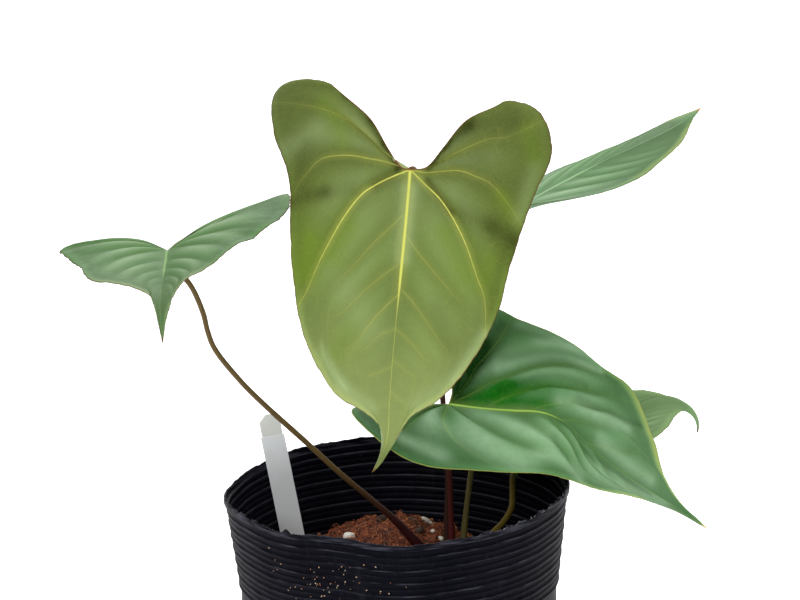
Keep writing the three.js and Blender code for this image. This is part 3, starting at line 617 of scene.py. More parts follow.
for leaf in LEAVES.values():
    for side in ("right", "left"):
        half = leaf[side]
        half.setdefault("veins", common_veins(leaf, half))
        half.setdefault("strokes", {})
        lobe = np.array(half["margin"][0])
        half.setdefault("notch", [tuple(lobe * share) for share in NOTCH_SHAPE])
print("side veins of leaf_main:", len(LEAVES["leaf_main"]["right"]["veins"]), "and",
      len(LEAVES["leaf_main"]["left"]["veins"]))

# %% [markdown]
# ## From the flat leaf into space
# The midrib is a curve that pitches, turns and twists as it goes. At each place along it the
# half blade leaves it at an angle (the fold) and rolls over as a circle's arc (the curl). So a
# flat point at (u, v) is found by walking v along the midrib and u along that arc.


# %% Bending functions
def leaf_frame(leaf):
    """Columns: to the leaf's right, towards its tip and out of its upper face, at the stalk."""
    a, d, r = leaf["heading"] * DEG, leaf["dip"] * DEG, leaf["roll"] * DEG
    tipward = np.array([np.cos(a) * np.cos(d), np.sin(a) * np.cos(d), -np.sin(d)])
    upper = np.array([np.cos(a) * np.sin(d), np.sin(a) * np.sin(d), np.cos(d)])
    right = np.cross(tipward, upper)
    return np.stack([right * np.cos(r) + upper * np.sin(r), tipward,
                     upper * np.cos(r) - right * np.sin(r)], 1)


DROOP_START, TIP_TURN_START = 0.62, 0.8
BEND_SPREAD = 0.22
LOBE_SHARE = 0.3


def midrib_directions(leaf, w):
    """Along, right and up at the share w of the midrib, from its pitch, yaw and twist there."""
    tip_part = np.clip((w - DROOP_START) / (1 - DROOP_START), 0, 1)**2
    kink = smooth_step((w - leaf["bend_at"]) / BEND_SPREAD + 0.5)
    ahead = leaf["droop"] * w + leaf["tip_droop"] * tip_part + leaf["bend"] * kink
    pitch = np.where(w < 0, leaf["back"] * w / LOBE_SHARE, ahead) * DEG
    tip_turn = leaf["tip_yaw"] * np.clip((w - TIP_TURN_START) / (1 - TIP_TURN_START), 0, 1)
    yaw = (leaf["yaw"] * w + leaf["yaw_along"] * w * abs(w) + tip_turn) * DEG
    twist = (leaf["twist"] * w * DEG)[:, None]
    along = np.stack([np.sin(yaw) * np.cos(pitch), np.cos(yaw) * np.cos(pitch),
                      -np.sin(pitch)], -1)
    side = np.stack([np.cos(yaw), -np.sin(yaw), 0 * yaw], -1)
    face = np.cross(side, along)
    return (along, side * np.cos(twist) + face * np.sin(twist),
            face * np.cos(twist) - side * np.sin(twist))


def walk_midrib(leaf, steps=200):
    """Tables of w, point, right and up: the point is the running sum of the mean directions."""
    def walk(w):
        along, right, up = midrib_directions(leaf, w)
        step = 0.5 * (along[1:] + along[:-1]) * np.diff(w)[:, None] * leaf["length"]
        return w, np.vstack([[0, 0, 0], np.cumsum(step, 0)]), right, up
    ahead = walk(np.linspace(0, 1, steps + 1))
    behind = walk(np.linspace(0, -0.4, steps // 2))
    return [np.concatenate([b[:0:-1], a]) for b, a in zip(behind, ahead)]


FLAT_ARC = 1e-4


def bend_into_place(leaf, half, sign, u, v, lift):
    """Places of flat points (u, v): midrib point plus the fold and curl arc of length u, plus
    lift out of the face. sign is 1 for the right half and -1 for the left."""
    w = v / leaf["length"]
    table = walk_midrib(leaf)
    point, right, up = (np.stack([np.interp(w, table[0], t[:, k]) for k in range(3)], -1)
                        for t in table[1:])
    fold = (half["fold"] + half["fold_along"] * w) * DEG
    curl = (half["curl"] + half["curl_along"] * w) * DEG * u / leaf["half_width"]
    curl = np.where(abs(curl) < FLAT_ARC, FLAT_ARC, curl)
    across = (np.sin(fold + curl) - np.sin(fold)) / curl * u
    rise = (np.cos(fold) - np.cos(fold + curl)) / curl * u
    place = point + right * (across * sign)[..., None] + up * (rise + lift)[..., None]
    return place @ leaf_frame(leaf).T + np.array(leaf["stalk_top"])


tip_place = walk_midrib(LEAVES["leaf_main"])[1][-1]
print("straight from leaf_main's stalk to its tip:", round(float(np.linalg.norm(tip_place))), "mm")

# %% [markdown]
# ## The grid of a blade
# The grid's rows follow the side veins, because a crease that a vein makes is only sharp where
# a line of points runs along it. Rows crowd beside the veins and columns crowd at the midrib.

# %% Rows along the veins
COLUMNS = 52
COLUMN_CROWDING = 1.25
ROW_SPACING = 1.35
FEWEST_ROWS = 4
EVEN_PART, EASED_PART = 0.45, 0.55
OUTLINE_PER_LENGTH = 2.2
TIP_SHARE = 0.9995


def row_numbers(shares, length):
    """Vein numbers of the rows: even steps eased towards the veins, about ROW_SPACING apart."""
    numbers = []
    for i, (a, b) in enumerate(zip(shares[:-1], shares[1:])):
        count = max(FEWEST_ROWS, int(round((b - a) * length / ROW_SPACING)))
        t = np.arange(count) / count
        numbers.append(i + EVEN_PART * t + EASED_PART * (0.5 - 0.5 * np.cos(np.pi * t)))
    return np.concatenate([*numbers, [len(shares) - 1.0]])


def notch_line(half, at):
    """Flat points of the edge over the stalk, at the shares at of its way to the margin."""
    return through([(0, 0), *half["notch"], half["margin"][0]], at)


def vein_line(leaf, half, vein, at):
    """Flat points of a vein, at the shares at of its way from its foot to the margin."""
    foot, points, share, _ = vein
    return through([(0, foot * leaf["length"]), *points, through(half["margin"], share)], at)


def grid_lines(leaf, half, at):
    """The lines that rows run between, which are the notch, each vein and the tip, and the share
    of the outline at which each one meets the margin."""
    tip = np.array([0, leaf["length"] * TIP_SHARE])
    lines = [notch_line(half, at), *(vein_line(leaf, half, vein, at) for vein in half["veins"]),
             np.repeat(tip[None], len(at), 0)]
    return np.array(lines), [0.0, *(vein[2] for vein in half["veins"]), 1.0]


print("columns across half a blade:", COLUMNS)

# %% [markdown]
# A real margin is never a clean curve, so small uneven waves move it. The blade swells between
# its veins like a quilt, and the tip can be pinched to a point that drips.

# %% Flat half of a blade
TEAR_WAVES = (7, 13, 23, 37, 61)
TEAR_EASE_NOTCH, TEAR_EASE_TIP = 0.06, 0.1
PINCH_START, PINCH_SPAN = 0.78, 0.14
QUILT_ROUNDNESS = 1.3
QUILT_END, QUILT_EASE = 0.95, 0.3


def ragged_edge(leaf, half, share, seed):
    """The margin at each share, moved along its normal by an uneven wave that dies away at the
    notch and at the tip."""
    edge = through(half["margin"], share)
    tear = leaf["ragged"] * ripple(share, seed, TEAR_WAVES) * smooth_step(share / TEAR_EASE_NOTCH)
    outward = np.gradient(edge, axis=0)
    outward = np.stack([outward[:, 1], -outward[:, 0]], -1)
    outward /= np.linalg.norm(outward, axis=1, keepdims=True) + 1e-9
    edge = edge + outward * (tear * smooth_step((1 - share) / TEAR_EASE_TIP))[:, None]
    edge[0], edge[-1] = half["margin"][0], (0, leaf["length"] * TIP_SHARE)
    return edge


def half_grid(leaf, half, seed):
    """Flat points of half a blade, rows x columns, with each row's number, share of the outline
    and end on the margin. The quilt is a sine from vein to vein times one from midrib to
    margin."""
    out = np.linspace(0, 1, COLUMNS)**COLUMN_CROWDING
    lines, shares = grid_lines(leaf, half, out)
    numbers = row_numbers(shares, OUTLINE_PER_LENGTH * leaf["length"])
    i = np.minimum(numbers.astype(int), len(lines) - 2)
    f = (numbers - i)[:, None, None]
    flat = lines[i] * (1 - f) + lines[i + 1] * f
    share = np.interp(numbers, np.arange(len(shares)), shares)
    edge = ragged_edge(leaf, half, share, seed)
    flat = flat + (edge - flat[:, -1])[:, None] * (out**3)[None, :, None]
    flat[:, 0, 0] = 0
    tipward = smooth_step((flat[..., 1] / leaf["length"] - PINCH_START) / PINCH_SPAN)
    narrow = 1 - leaf.get("pinch", 0) * tipward
    flat[..., 0] *= narrow
    edge[:, 0] *= narrow[:, -1]
    between = 2 * np.sin(np.pi * f[..., 0])**QUILT_ROUNDNESS
    inside = np.sin(np.pi * np.minimum(out * 1.1, 1))[None]
    inside = inside * smooth_step((QUILT_END - share) / QUILT_EASE)[:, None]
    return dict(flat=flat, out=out, share=share, numbers=numbers, edge=edge,
                lift=leaf["quilt"] * 0.5 * between * inside, bulge=between * inside / 2)


example = half_grid(LEAVES["leaf_main"], LEAVES["leaf_main"]["right"], 0)["flat"]
print("rows x columns of half of leaf_main:", example.shape[0], "x", example.shape[1])

# %% [markdown]
# Each point also learns what the finish has to know: how far it is from the nearest vein, from
# the midrib and from the margin, and how much of each stroke of colour it takes. Drawn from
# such distances a vein stays sharp at any zoom.

# %% Marks on a blade
LINE_SAMPLES = 120
INNER_VEIN = 3


def distance_to_lines(points, lines):
    """For each flat point, the distance to the nearest sampled line point and which it was."""
    best = np.full(len(points), 1e9)
    which = np.zeros(len(points), int)
    offset = 0
    for line in lines:
        apart = points[:, None] - line[None]
        gap = np.hypot(apart[..., 0], apart[..., 1])
        nearest = gap.argmin(1)
        found = gap[np.arange(len(points)), nearest]
        closer = found < best
        best[closer] = found[closer]
        which[closer] = offset + nearest[closer]
        offset += len(line)
    return best, which


def stroke_field(flat, strokes):
    """Sum over the strokes: the strength times exp(-(distance / width) squared), where the
    distance is to the stroke's straight line."""
    total = np.zeros(len(flat))
    for x0, y0, x1, y1, width, strength in strokes:
        start, line = np.array([x0, y0], float), np.array([x1 - x0, y1 - y0], float)
        t = np.clip((flat - start) @ line / (line @ line), 0, 1)
        gap = np.linalg.norm(flat - start - t[:, None] * line, axis=1)
        total += strength * np.exp(-(gap / width)**2)
    return np.minimum(total, 1)


def blade_marks(leaf, half, grid):
    """The numbers that the finish reads at each flat point. A point on a row that is a vein or
    the notch is exactly on it, so its distance is set to 0."""
    flat = grid["flat"].reshape(-1, 2)
    fine = np.linspace(0, 1, LINE_SAMPLES)
    veins = [vein_line(leaf, half, vein, fine) for vein in half["veins"]]
    gap, which = distance_to_lines(flat, veins)
    number = np.repeat(grid["numbers"], COLUMNS)
    row = np.round(number)
    on_vein = (np.abs(number - row) < 1e-9) & (row >= 1) & (row <= len(veins))
    to_margin = np.linalg.norm(flat - np.repeat(grid["edge"], COLUMNS, 0), axis=1)
    to_notch = distance_to_lines(flat, [notch_line(half, fine)])[0]
    to_notch = np.where(np.round(number, 9) == 0, 0, to_notch)
    strokes = {kind: stroke_field(flat, half["strokes"].get(kind, []))
               for kind in ("dark", "pale", "fresh")}
    return dict(
        vein_gap=np.where(on_vein, 0, gap),
        vein_strength=np.repeat([vein[3] for vein in half["veins"]], LINE_SAMPLES)[which],
        vein_along=np.tile(fine, len(veins))[which],
        mid_gap=np.abs(flat[:, 0]), edge_gap=np.minimum(to_margin, to_notch),
        along=flat[:, 1] / leaf["length"], bulge=grid["bulge"].ravel(),
        inner=smooth_step((number - INNER_VEIN + 0.15) / 0.3), **strokes)


print("samples along a vein:", LINE_SAMPLES)

# %% [markdown]
# The two halves are bent into place one by one and sewn along the midrib. They stay open at the
# notch, so each keeps a rim of its own.

# %% Sew the halves
MARGIN_WAVES = 5
HALVES_APART = 1.7
FLUTTER_WAVES = (9, 17, 29)
UV_UNIT = 100


def half_blade(leaf, side, sign, seed):
    """Half a blade in space with its marks, faces and rim. Its margin waves as a sine whose
    height grows with the cube of the way out."""
    half = leaf[side]
    grid = half_grid(leaf, half, seed + (sign > 0))
    rows = len(grid["numbers"])
    flat = grid["flat"].reshape(-1, 2)
    share, out = np.repeat(grid["share"], COLUMNS), np.tile(grid["out"], rows)
    apart = HALVES_APART if sign > 0 else 0
    wave = np.sin(2 * np.pi * MARGIN_WAVES * share + leaf["wave_phase"] + apart)
    wave = leaf["waves"] * out**3 * wave
    flutter = 0.5 * leaf["ragged"] * out**6 * ripple(share, seed + 9, FLUTTER_WAVES)
    flutter *= smooth_step((1 - share) / 0.15)
    lift = grid["lift"].ravel() + wave + flutter
    index = np.arange(rows * COLUMNS).reshape(rows, COLUMNS)
    rim = np.concatenate([index[0], index[1:, -1]])
    return dict(points=bend_into_place(leaf, half, sign, flat[:, 0], flat[:, 1], lift),
                flat=np.column_stack([sign * flat[:, 0], flat[:, 1]]) / UV_UNIT,
                marks=blade_marks(leaf, half, grid),
                faces=grid_faces(rows, COLUMNS)[:, ::sign], rim=rim[::sign])


def sewn_blade(leaf, seed):
    """Both halves as one sheet with a single point wherever two of them share a place."""
    right = half_blade(leaf, "right", 1, seed)
    left = half_blade(leaf, "left", -1, seed)
    shift = len(right["points"])
    first, inverse = shared_points(np.vstack([right["points"], left["points"]]))
    marks = {key: np.concatenate([right["marks"][key], left["marks"][key]])[first]
             for key in right["marks"]}
    return dict(points=np.vstack([right["points"], left["points"]])[first],
                flat=np.vstack([right["flat"], left["flat"]])[first], marks=marks,
                faces=tidy_faces(inverse[np.vstack([right["faces"], left["faces"] + shift])]),
                rims=[inverse[right["rim"]], inverse[left["rim"] + shift]])


print("waves along each margin:", MARGIN_WAVES)

# %% [markdown]
# The veins stand out of the lower face as ribs and show on the upper face as low lines. The
# blade is about 0.6 mm thick and thins to the margin.

# %% Thickness and ribs
MIDRIB_WIDTH = 0.85
VEIN_WIDTH = 0.55
UNDER_RIB = 0.9
UPPER_RIB = 0.16
BLADE_HALF = 0.3
MARGIN_HALF = 0.16
THINNING_REACH = 4


def rib_height(marks):
    """How far the veins stand out, up to about 1: a bell across each side vein that tapers to
    the margin, and a wider bell across the midrib that tapers to the tip."""
    taper = 1 - 0.75 * np.clip(marks["vein_along"], 0, 1)
    across = marks["vein_gap"] / (VEIN_WIDTH + 0.5 * taper)
    rib = marks["vein_strength"] * taper * np.exp(-across**2)
    size = np.clip(1.15 - marks["along"], 0.15, 1.1)
    middle = size * np.exp(-(marks["mid_gap"] / (MIDRIB_WIDTH * (0.5 + 0.6 * size)))**2)
    middle = np.where(marks["along"] < -0.01, 0, middle)
    return np.maximum(rib * 0.7, middle) * smooth_step(marks["edge_gap"] / 1.5)


def rim_wall(rim, shift):
    """Faces from each step of a rim to the same step of the lower face, shift points on."""
    a, b = rim[:-1], rim[1:]
    a, b = a[a != b], b[a != b]
    return np.stack([a, a + shift, b + shift, b], -1)


def make_blade(name, finish, seed):
    """A closed blade: the sewn sheet moved both ways along its normals by half the thickness
    and the ribs, with a wall round its rims."""
    sheet = sewn_blade(LEAVES[name], seed)
    points, faces, marks = sheet["points"], sheet["faces"], sheet["marks"]
    normals = vertex_normals(points, faces)
    thinning = smooth_step(marks["edge_gap"] / THINNING_REACH)
    half_thick = MARGIN_HALF + (BLADE_HALF - MARGIN_HALF) * thinning
    ribs = rib_height(marks)
    upper = points + normals * (half_thick + UPPER_RIB * ribs)[:, None]
    lower = points - normals * (half_thick + UNDER_RIB * ribs)[:, None]
    count = len(points)
    under_faces = flip_faces(np.where(faces >= 0, faces + count, -1))
    walls = [rim_wall(rim, count) for rim in sheet["rims"]]
    marks = {key: np.concatenate([values, values]) for key, values in marks.items()}
    marks["under"] = np.repeat([0, 1], count)
    put_mesh(name + "_blade", np.vstack([upper, lower]), np.vstack([faces, under_faces, *walls]),
             finish, [name], marks, np.vstack([sheet["flat"], sheet["flat"]]))


print("blade", 2 * BLADE_HALF, "mm thick, margin", 2 * MARGIN_HALF, "mm")

# %% [markdown]
# ## Leaf finish
# A leaf's colour has layers: a base green that shifts from lobe to tip, cloudy patches, painted
# shade in the quilt's hollows and painted sheen on its crests, soft strokes that are mostly
# painted shade and painted sheen, a fine net of small veins, the pale side veins and midrib,
# and a thin rim. The lower face is paler and duller. Each layer is a mix over the one before it.


# %% Ground colour of a leaf
def tint(colour, times):
    """A colour made darker or lighter, each part at most 1."""
    return tuple(min(1.0, times * part) for part in colour)


def leaf_patterns(finish, blotch, seed):
    """All that varies over a blade: the marks of its points and noises on its flat coordinates."""
    marks = ("along", "edge_gap", "bulge", "inner", "dark", "pale", "fresh", "under",
             "vein_gap", "vein_along", "vein_strength", "mid_gap")
    flat = finish.flat()
    p = SimpleNamespace(**{mark: finish.attribute(mark) for mark in marks},
                        cloud=finish.noise(flat, 2.6 + seed, 3.0),
                        grain=finish.noise(flat, 14.0 + seed, 5.0, 0.65),
                        wide_net=finish.cells(flat, 21.0), net=finish.cells(flat, 58.0),
                        skin_cells=finish.cells(flat, 110.0))
    p.shade = ((p.cloud - 0.5) * 2.0 * blotch + (p.grain - 0.5) * 0.9 * blotch).clamp()
    p.shine = ((0.5 - p.cloud) * 1.4 * blotch + (0.5 - p.grain) * 0.7 * blotch).clamp()
    return p


def leaf_ground(finish, p, look):
    """Lobe to tip, then clouds, then painted shade in the quilt's hollows and a painted sheen on
    its crests.
    """
    base = finish.mix(p.along.ramp(-0.1, 0.3), look.lobe, look.middle)
    base = finish.mix(p.along.ramp(0.35, 0.85), base, look.tip)
    base = finish.mix(p.shade, base, tint(look.lobe, 0.4))
    base = finish.mix(p.shine, base, tint(look.middle, 1.6))
    # Painted shade in the quilt's hollows.
    hollow_shade = (1 - p.bulge).power(3.0) * p.edge_gap.ramp(1.0, 9.0) * look.relief
    base = finish.mix(hollow_shade, base, tint(look.lobe, 0.35))
    # Painted sheen on the quilt's crests.
    base = finish.mix(p.bulge * p.bulge * look.relief * (p.grain + 0.3), base, look.pale)
    return finish.mix(p.inner * look.inner * (p.cloud + 0.5), base, look.pale)


def leaf_strokes(finish, p, look, base):
    """The soft strokes, mostly painted shade (dark) and painted sheen (pale) with some greener tone
    (fresh), the pale band inside the margin and the net of veinlets.
    """
    base = finish.mix((p.fresh * (p.grain + 0.5)).clamp(), base, look.fresh)
    # Pale strokes: mostly painted sheen, some paler tone.
    base = finish.mix((p.pale * (p.grain + 0.5)).clamp(), base, look.pale)
    # Pale band inside the lower margin: partly a yellower tone, partly a painted highlight where
    # the margin curls back.
    border = p.edge_gap.ramp(7.0, 0.5) * p.along.ramp(0.35, 0.75) * (p.cloud * 1.6).clamp()
    base = finish.mix(border * look.band_share, base, look.band)
    # Dark strokes: mostly painted shade in folds, creases and along the notch, some darker tone.
    base = finish.mix((p.dark * (p.grain * 0.6 + 0.75)).clamp(), base, look.dark)
    net = p.net.ramp(0.08, 0.0) * look.net + p.wide_net.ramp(0.05, 0.0) * look.net
    return finish.mix(net, base, look.vein)


print("a green at half its light:", tint((0.1, 0.24, 0.08), 0.5))

# %% [markdown]
# The vein lines are cut from the distances: a narrow bright line with a weak halo round it. A
# side vein fades on its way to the margin, and the midrib grows thin and faint past the places
# that fade gives.


# %% Veins and finish of a leaf
def vein_lines(p, look):
    """How strongly the vein colour shows, from 0 to 1: the larger of side veins and midrib."""
    line = ((1 - p.vein_gap / (0.65 - 0.37 * p.vein_along)).clamp() * 1.5).clamp()
    halo = (1 - p.vein_gap / 3.2).clamp() * 0.25 * (1 - p.dark)
    side = (line * p.strength * 0.9 + halo).clamp() * p.strength
    side = side * (1 - p.vein_along.ramp(0.35, 0.95) * 0.7)
    weak = p.along.ramp(*look.fade)
    middle = ((1 - p.mid_gap / (1.0 - 0.62 * weak)).clamp() * 1.8).clamp()
    middle = middle * (1 - (1 - look.faint) * weak)
    middle_halo = (1 - p.mid_gap / 5.0).clamp() * 0.2 * (1 - weak)
    return side.math("MAXIMUM", (middle + middle_halo).clamp() * p.along.ramp(-0.03, 0.0))


def leaf_finish(name, band_share=0.5, net=0.03, relief=0.5, inner=0.0, show=1.0, fade=(0.3, 0.5),
                faint=0.35, rough=0.45, blotch=0.25, seed=0.0, **colours):
    """The finish of one leaf from its colours and the shares of its layers."""
    look = SimpleNamespace(band_share=band_share, net=net, relief=relief, inner=inner, fade=fade,
                           faint=faint, **colours)
    finish = Finish(name, Specular_IOR_Level=0.04)
    p = leaf_patterns(finish, blotch, seed)
    p.strength = p.vein_strength * show
    base = leaf_strokes(finish, p, look, leaf_ground(finish, p, look))
    veins = vein_lines(p, look)
    colour = finish.mix(veins, base, look.vein)
    below = finish.mix(p.shade, look.under, tint(look.under, 0.7))
    colour = finish.mix(p.under, colour, finish.mix(veins * 0.6, below, look.vein))
    rim = (p.edge_gap.ramp(0.75, 0.2) * (p.cloud + 0.4)).clamp()
    colour = finish.mix(rim, colour, look.rim)
    drip_tip = p.along.ramp(0.84, 0.92) * p.edge_gap.ramp(0.6, 2.0) * 0.6
    colour = finish.mix(drip_tip, colour, look.lobe)
    colour = finish.mix(p.along.ramp(0.97, 0.99), colour, look.end)
    crease = (p.vein_gap / 4.0).clamp().power(0.6) * p.strength
    height = p.skin_cells.ramp(0.0, 0.25) * 0.25 + p.grain * 0.35
    height = height + p.wide_net.ramp(0.0, 0.12) * 0.3 + crease * 2.2
    dull = rough + (p.grain - 0.5) * 0.22 + veins * 0.05 + p.under * 0.15
    return finish.wear(Base_Color=colour, Roughness=dull,
                       Normal=finish.bump(height, 0.0004, 0.4))


print("finishes before the leaves:", len(bpy.data.materials))

# %% [markdown]
# The young leaf is olive with yellow veins, and the older ones are bluish green. The colours
# are those of the leaf's lobe, middle and tip, of its strokes, veins, rim, band and very end,
# and of its lower face.

# %% Blades
LEAF_LOOKS = {
    "leaf_main": ("leaf_young", "young_leaf", dict(
        lobe=(0.112, 0.15, 0.036), middle=(0.13, 0.19, 0.032), tip=(0.29, 0.36, 0.11),
        dark=(0.030, 0.038, 0.005), pale=(0.33, 0.43, 0.20), fresh=(0.13, 0.21, 0.015),
        vein=(0.62, 0.64, 0.13), rim=(0.16, 0.06, 0.03), band=(0.40, 0.47, 0.17),
        end=(0.22, 0.11, 0.04), under=(0.30, 0.36, 0.18),
        band_share=0.6, relief=0.3, inner=0.12, blotch=0.34, rough=0.5)),
    "leaf_right": ("leaf_green", "front_leaf", dict(
        lobe=(0.055, 0.16, 0.05), middle=(0.10, 0.24, 0.085), tip=(0.17, 0.33, 0.155),
        dark=(0.002, 0.03, 0.002), pale=(0.42, 0.62, 0.41), fresh=(0.004, 0.15, 0.004),
        vein=(0.40, 0.62, 0.12), rim=(0.30, 0.34, 0.08), band=(0.60, 0.66, 0.12),
        end=(0.70, 0.62, 0.36), under=(0.20, 0.30, 0.16),
        show=0.6, relief=0.45, fade=(0.25, 0.4), blotch=0.4, seed=0.7)),
    "leaf_left": ("leaf_green", "left_leaf", dict(
        lobe=(0.09, 0.19, 0.065), middle=(0.10, 0.20, 0.075), tip=(0.13, 0.21, 0.09),
        dark=(0.008, 0.04, 0.010), pale=(0.40, 0.52, 0.33), fresh=(0.02, 0.14, 0.02),
        vein=(0.22, 0.36, 0.14), rim=(0.12, 0.10, 0.05), band=(0.34, 0.38, 0.18),
        end=(0.13, 0.045, 0.02), under=(0.20, 0.28, 0.16),
        show=0.5, relief=0.4, blotch=0.35, seed=1.3)),
    "leaf_back": ("leaf_green", "back_leaf", dict(
        lobe=(0.13, 0.25, 0.11), middle=(0.13, 0.25, 0.11), tip=(0.14, 0.23, 0.11),
        dark=(0.02, 0.08, 0.03), pale=(0.42, 0.56, 0.36), fresh=(0.03, 0.15, 0.03),
        vein=(0.30, 0.48, 0.25), rim=(0.12, 0.17, 0.06), band=(0.42, 0.48, 0.12),
        end=(0.50, 0.20, 0.07), under=(0.16, 0.26, 0.15),
        show=0.6, blotch=0.35, seed=2.1)),
    # leaf_low's colours are set lighter than the other bluish leaves' to make up for the shade it
    # lies in under leaf_right: painted light.
    "leaf_low": ("leaf_green", "low_leaf", dict(
        lobe=(0.22, 0.38, 0.16), middle=(0.25, 0.40, 0.18), tip=(0.22, 0.36, 0.15),
        dark=(0.010, 0.045, 0.014), pale=(0.42, 0.58, 0.36), fresh=(0.02, 0.14, 0.02),
        vein=(0.26, 0.44, 0.18), rim=(0.14, 0.20, 0.06), band=(0.20, 0.28, 0.10),
        end=(0.06, 0.03, 0.01), under=(0.16, 0.26, 0.14),
        show=0.5, seed=2.9)),
}
for number, (name, (slot, finish_name, look)) in enumerate(LEAF_LOOKS.items()):
    make_blade(name, leaf_finish(finish_name, **look), 20 + 10 * number)

# %% [markdown]
# ## Stalks
# A stalk is a round tube along a smooth route. It has a sheath where it leaves the stem and a
# slightly swollen joint just under the blade, where the leaf can turn to the light.

# %% Tube along a route
STEPS_PER_SPAN = 40


def smooth_route(points, count):
    """Even samples of the curve through points whose knots are spaced by the square root of the
    distance between them, which makes no loops where points are close. Each span blends three
    straight lines, then two curves, by where t lies between their knots."""
    p = np.asarray(points, float)
    p = np.vstack([2 * p[0] - p[1], p, 2 * p[-1] - p[-2]])
    knots = np.concatenate([[0], np.cumsum(np.sqrt(np.linalg.norm(np.diff(p, axis=0), axis=1)))])
    dense = []
    for i in range(1, len(p) - 2):
        t = np.linspace(knots[i], knots[i + 1], STEPS_PER_SPAN, endpoint=False)[:, None]
        t0, t1, t2, t3 = knots[i - 1:i + 3]
        a1 = (t1 - t) / (t1 - t0) * p[i - 1] + (t - t0) / (t1 - t0) * p[i]
        a2 = (t2 - t) / (t2 - t1) * p[i] + (t - t1) / (t2 - t1) * p[i + 1]
        a3 = (t3 - t) / (t3 - t2) * p[i + 1] + (t - t2) / (t3 - t2) * p[i + 2]
        b1 = (t2 - t) / (t2 - t0) * a1 + (t - t0) / (t2 - t0) * a2
        b2 = (t3 - t) / (t3 - t1) * a2 + (t - t1) / (t3 - t1) * a3
        dense.append((t2 - t) / (t2 - t1) * b1 + (t - t1) / (t2 - t1) * b2)
    dense = np.vstack([*dense, p[-2:-1]])
    run = np.concatenate([[0], np.cumsum(np.linalg.norm(np.diff(dense, axis=0), axis=1))])
    even = np.linspace(0, run[-1], count)
    return np.stack([np.interp(even, run, dense[:, k]) for k in range(3)], -1), run[-1]


def carried_frames(path):
    """Two directions across the path at each point, carried along it without twist."""
    tangent = np.gradient(path, axis=0)
    tangent /= np.linalg.norm(tangent, axis=1, keepdims=True)
    first = np.cross(tangent[0], [0.3, 1.0, 0.2])
    across = [first / np.linalg.norm(first)]
    for t in tangent[1:]:
        side = across[-1] - t * (across[-1] @ t)
        across.append(side / np.linalg.norm(side))
    across = np.array(across)
    return across, np.cross(tangent, across)


def tube(path, radius):
    """Points of a tube, path + radius (across cos a + other sin a), and faces with closed ends.
    radius has a row for each point of the path and a column for each side."""
    across, other = carried_frames(path)
    a = round_angles(radius.shape[1])[None, :, None]
    ring = across[:, None] * np.cos(a) + other[:, None] * np.sin(a)
    return capped_rings(path[:, None] + ring * radius[..., None], path[0], path[-1])


print("length of a route with one bend:",
      round(float(smooth_route([(0, 0, 0), (0, 0, 50), (0, 30, 90)], 9)[1])), "mm")

# %% [markdown]
# The stalks' colour runs from dark maroon near the stem to olive near the blade, with fine
# streaks along them. Each point of a tube carries its distance from the foot for that.


# %% Stalk finish
def stalk_finish(name, foot, middle, top, collar, change=(0.15, 0.6)):
    """Foot, middle and top colours along the stalk, a collar at its joint, streaks and pores."""
    finish = Finish(name, Specular_IOR_Level=0.2)
    along = finish.attribute("along")
    colour = finish.mix(along.ramp(*change), foot, middle)
    colour = finish.mix(along.ramp(0.55, 0.95), colour, top)
    colour = finish.mix(finish.attribute("joint"), colour, collar)
    streaks = finish.noise(finish.stretched(finish.flat(), (3.0, 0.25, 1.0)), 9.0, 4.0, 0.6)
    colour = finish.mix(streaks.ramp(0.45, 0.75) * 0.5, colour, tint(foot, 0.4))
    pores = finish.cells(finish.stretched(finish.flat(), (6.0, 1.2, 1.0)), 6.0, "F1")
    colour = finish.mix(pores.ramp(0.16, 0.08) * 0.35, colour, tint(middle, 2.2))
    skin = finish.bump(streaks * 0.7 + pores.ramp(0.1, 0.2) * 0.2, 0.0002, 0.5)
    return finish.wear(Base_Color=colour, Roughness=0.3 + streaks * 0.3, Normal=skin)


STALK_COLOURS = {
    "stalk_main": ((0.045, 0.018, 0.012), (0.06, 0.025, 0.014), (0.12, 0.06, 0.02),
                   (0.16, 0.09, 0.03)),
    "stalk_right": ((0.09, 0.014, 0.014), (0.09, 0.02, 0.014), (0.12, 0.06, 0.02),
                    (0.16, 0.10, 0.03)),
    "stalk_left": ((0.04, 0.006, 0.008), (0.11, 0.068, 0.018), (0.14, 0.09, 0.025),
                   (0.10, 0.06, 0.02), (0.12, 0.4)),
    "stalk_back": ((0.16, 0.13, 0.035), (0.19, 0.155, 0.045), (0.17, 0.16, 0.05),
                   (0.16, 0.14, 0.05)),
    "stalk_low": ((0.19, 0.13, 0.02), (0.19, 0.13, 0.02), (0.12, 0.09, 0.02),
                  (0.16, 0.30, 0.03), (0.1, 0.5)),
}
print("stalk finishes:", len(STALK_COLOURS))

# %% [markdown]
# The routes are those of the solids, point for point. The last two points lie straight under
# the blade, so a stalk always meets its leaf square to it.

# %% Stalks
BLADE_GAP = 0.7
STALK_STEPS, STALK_SIDES = 150, 20
SHEATH_REACH = 28
JOINT_BELOW_TOP, JOINT_REACH, JOINT_SWELL = 7, 8, 0.35
GROOVE_DEPTH, GROOVE_WIDTH = 0.06, 0.35
FLAT_PER_TURN = 1.65

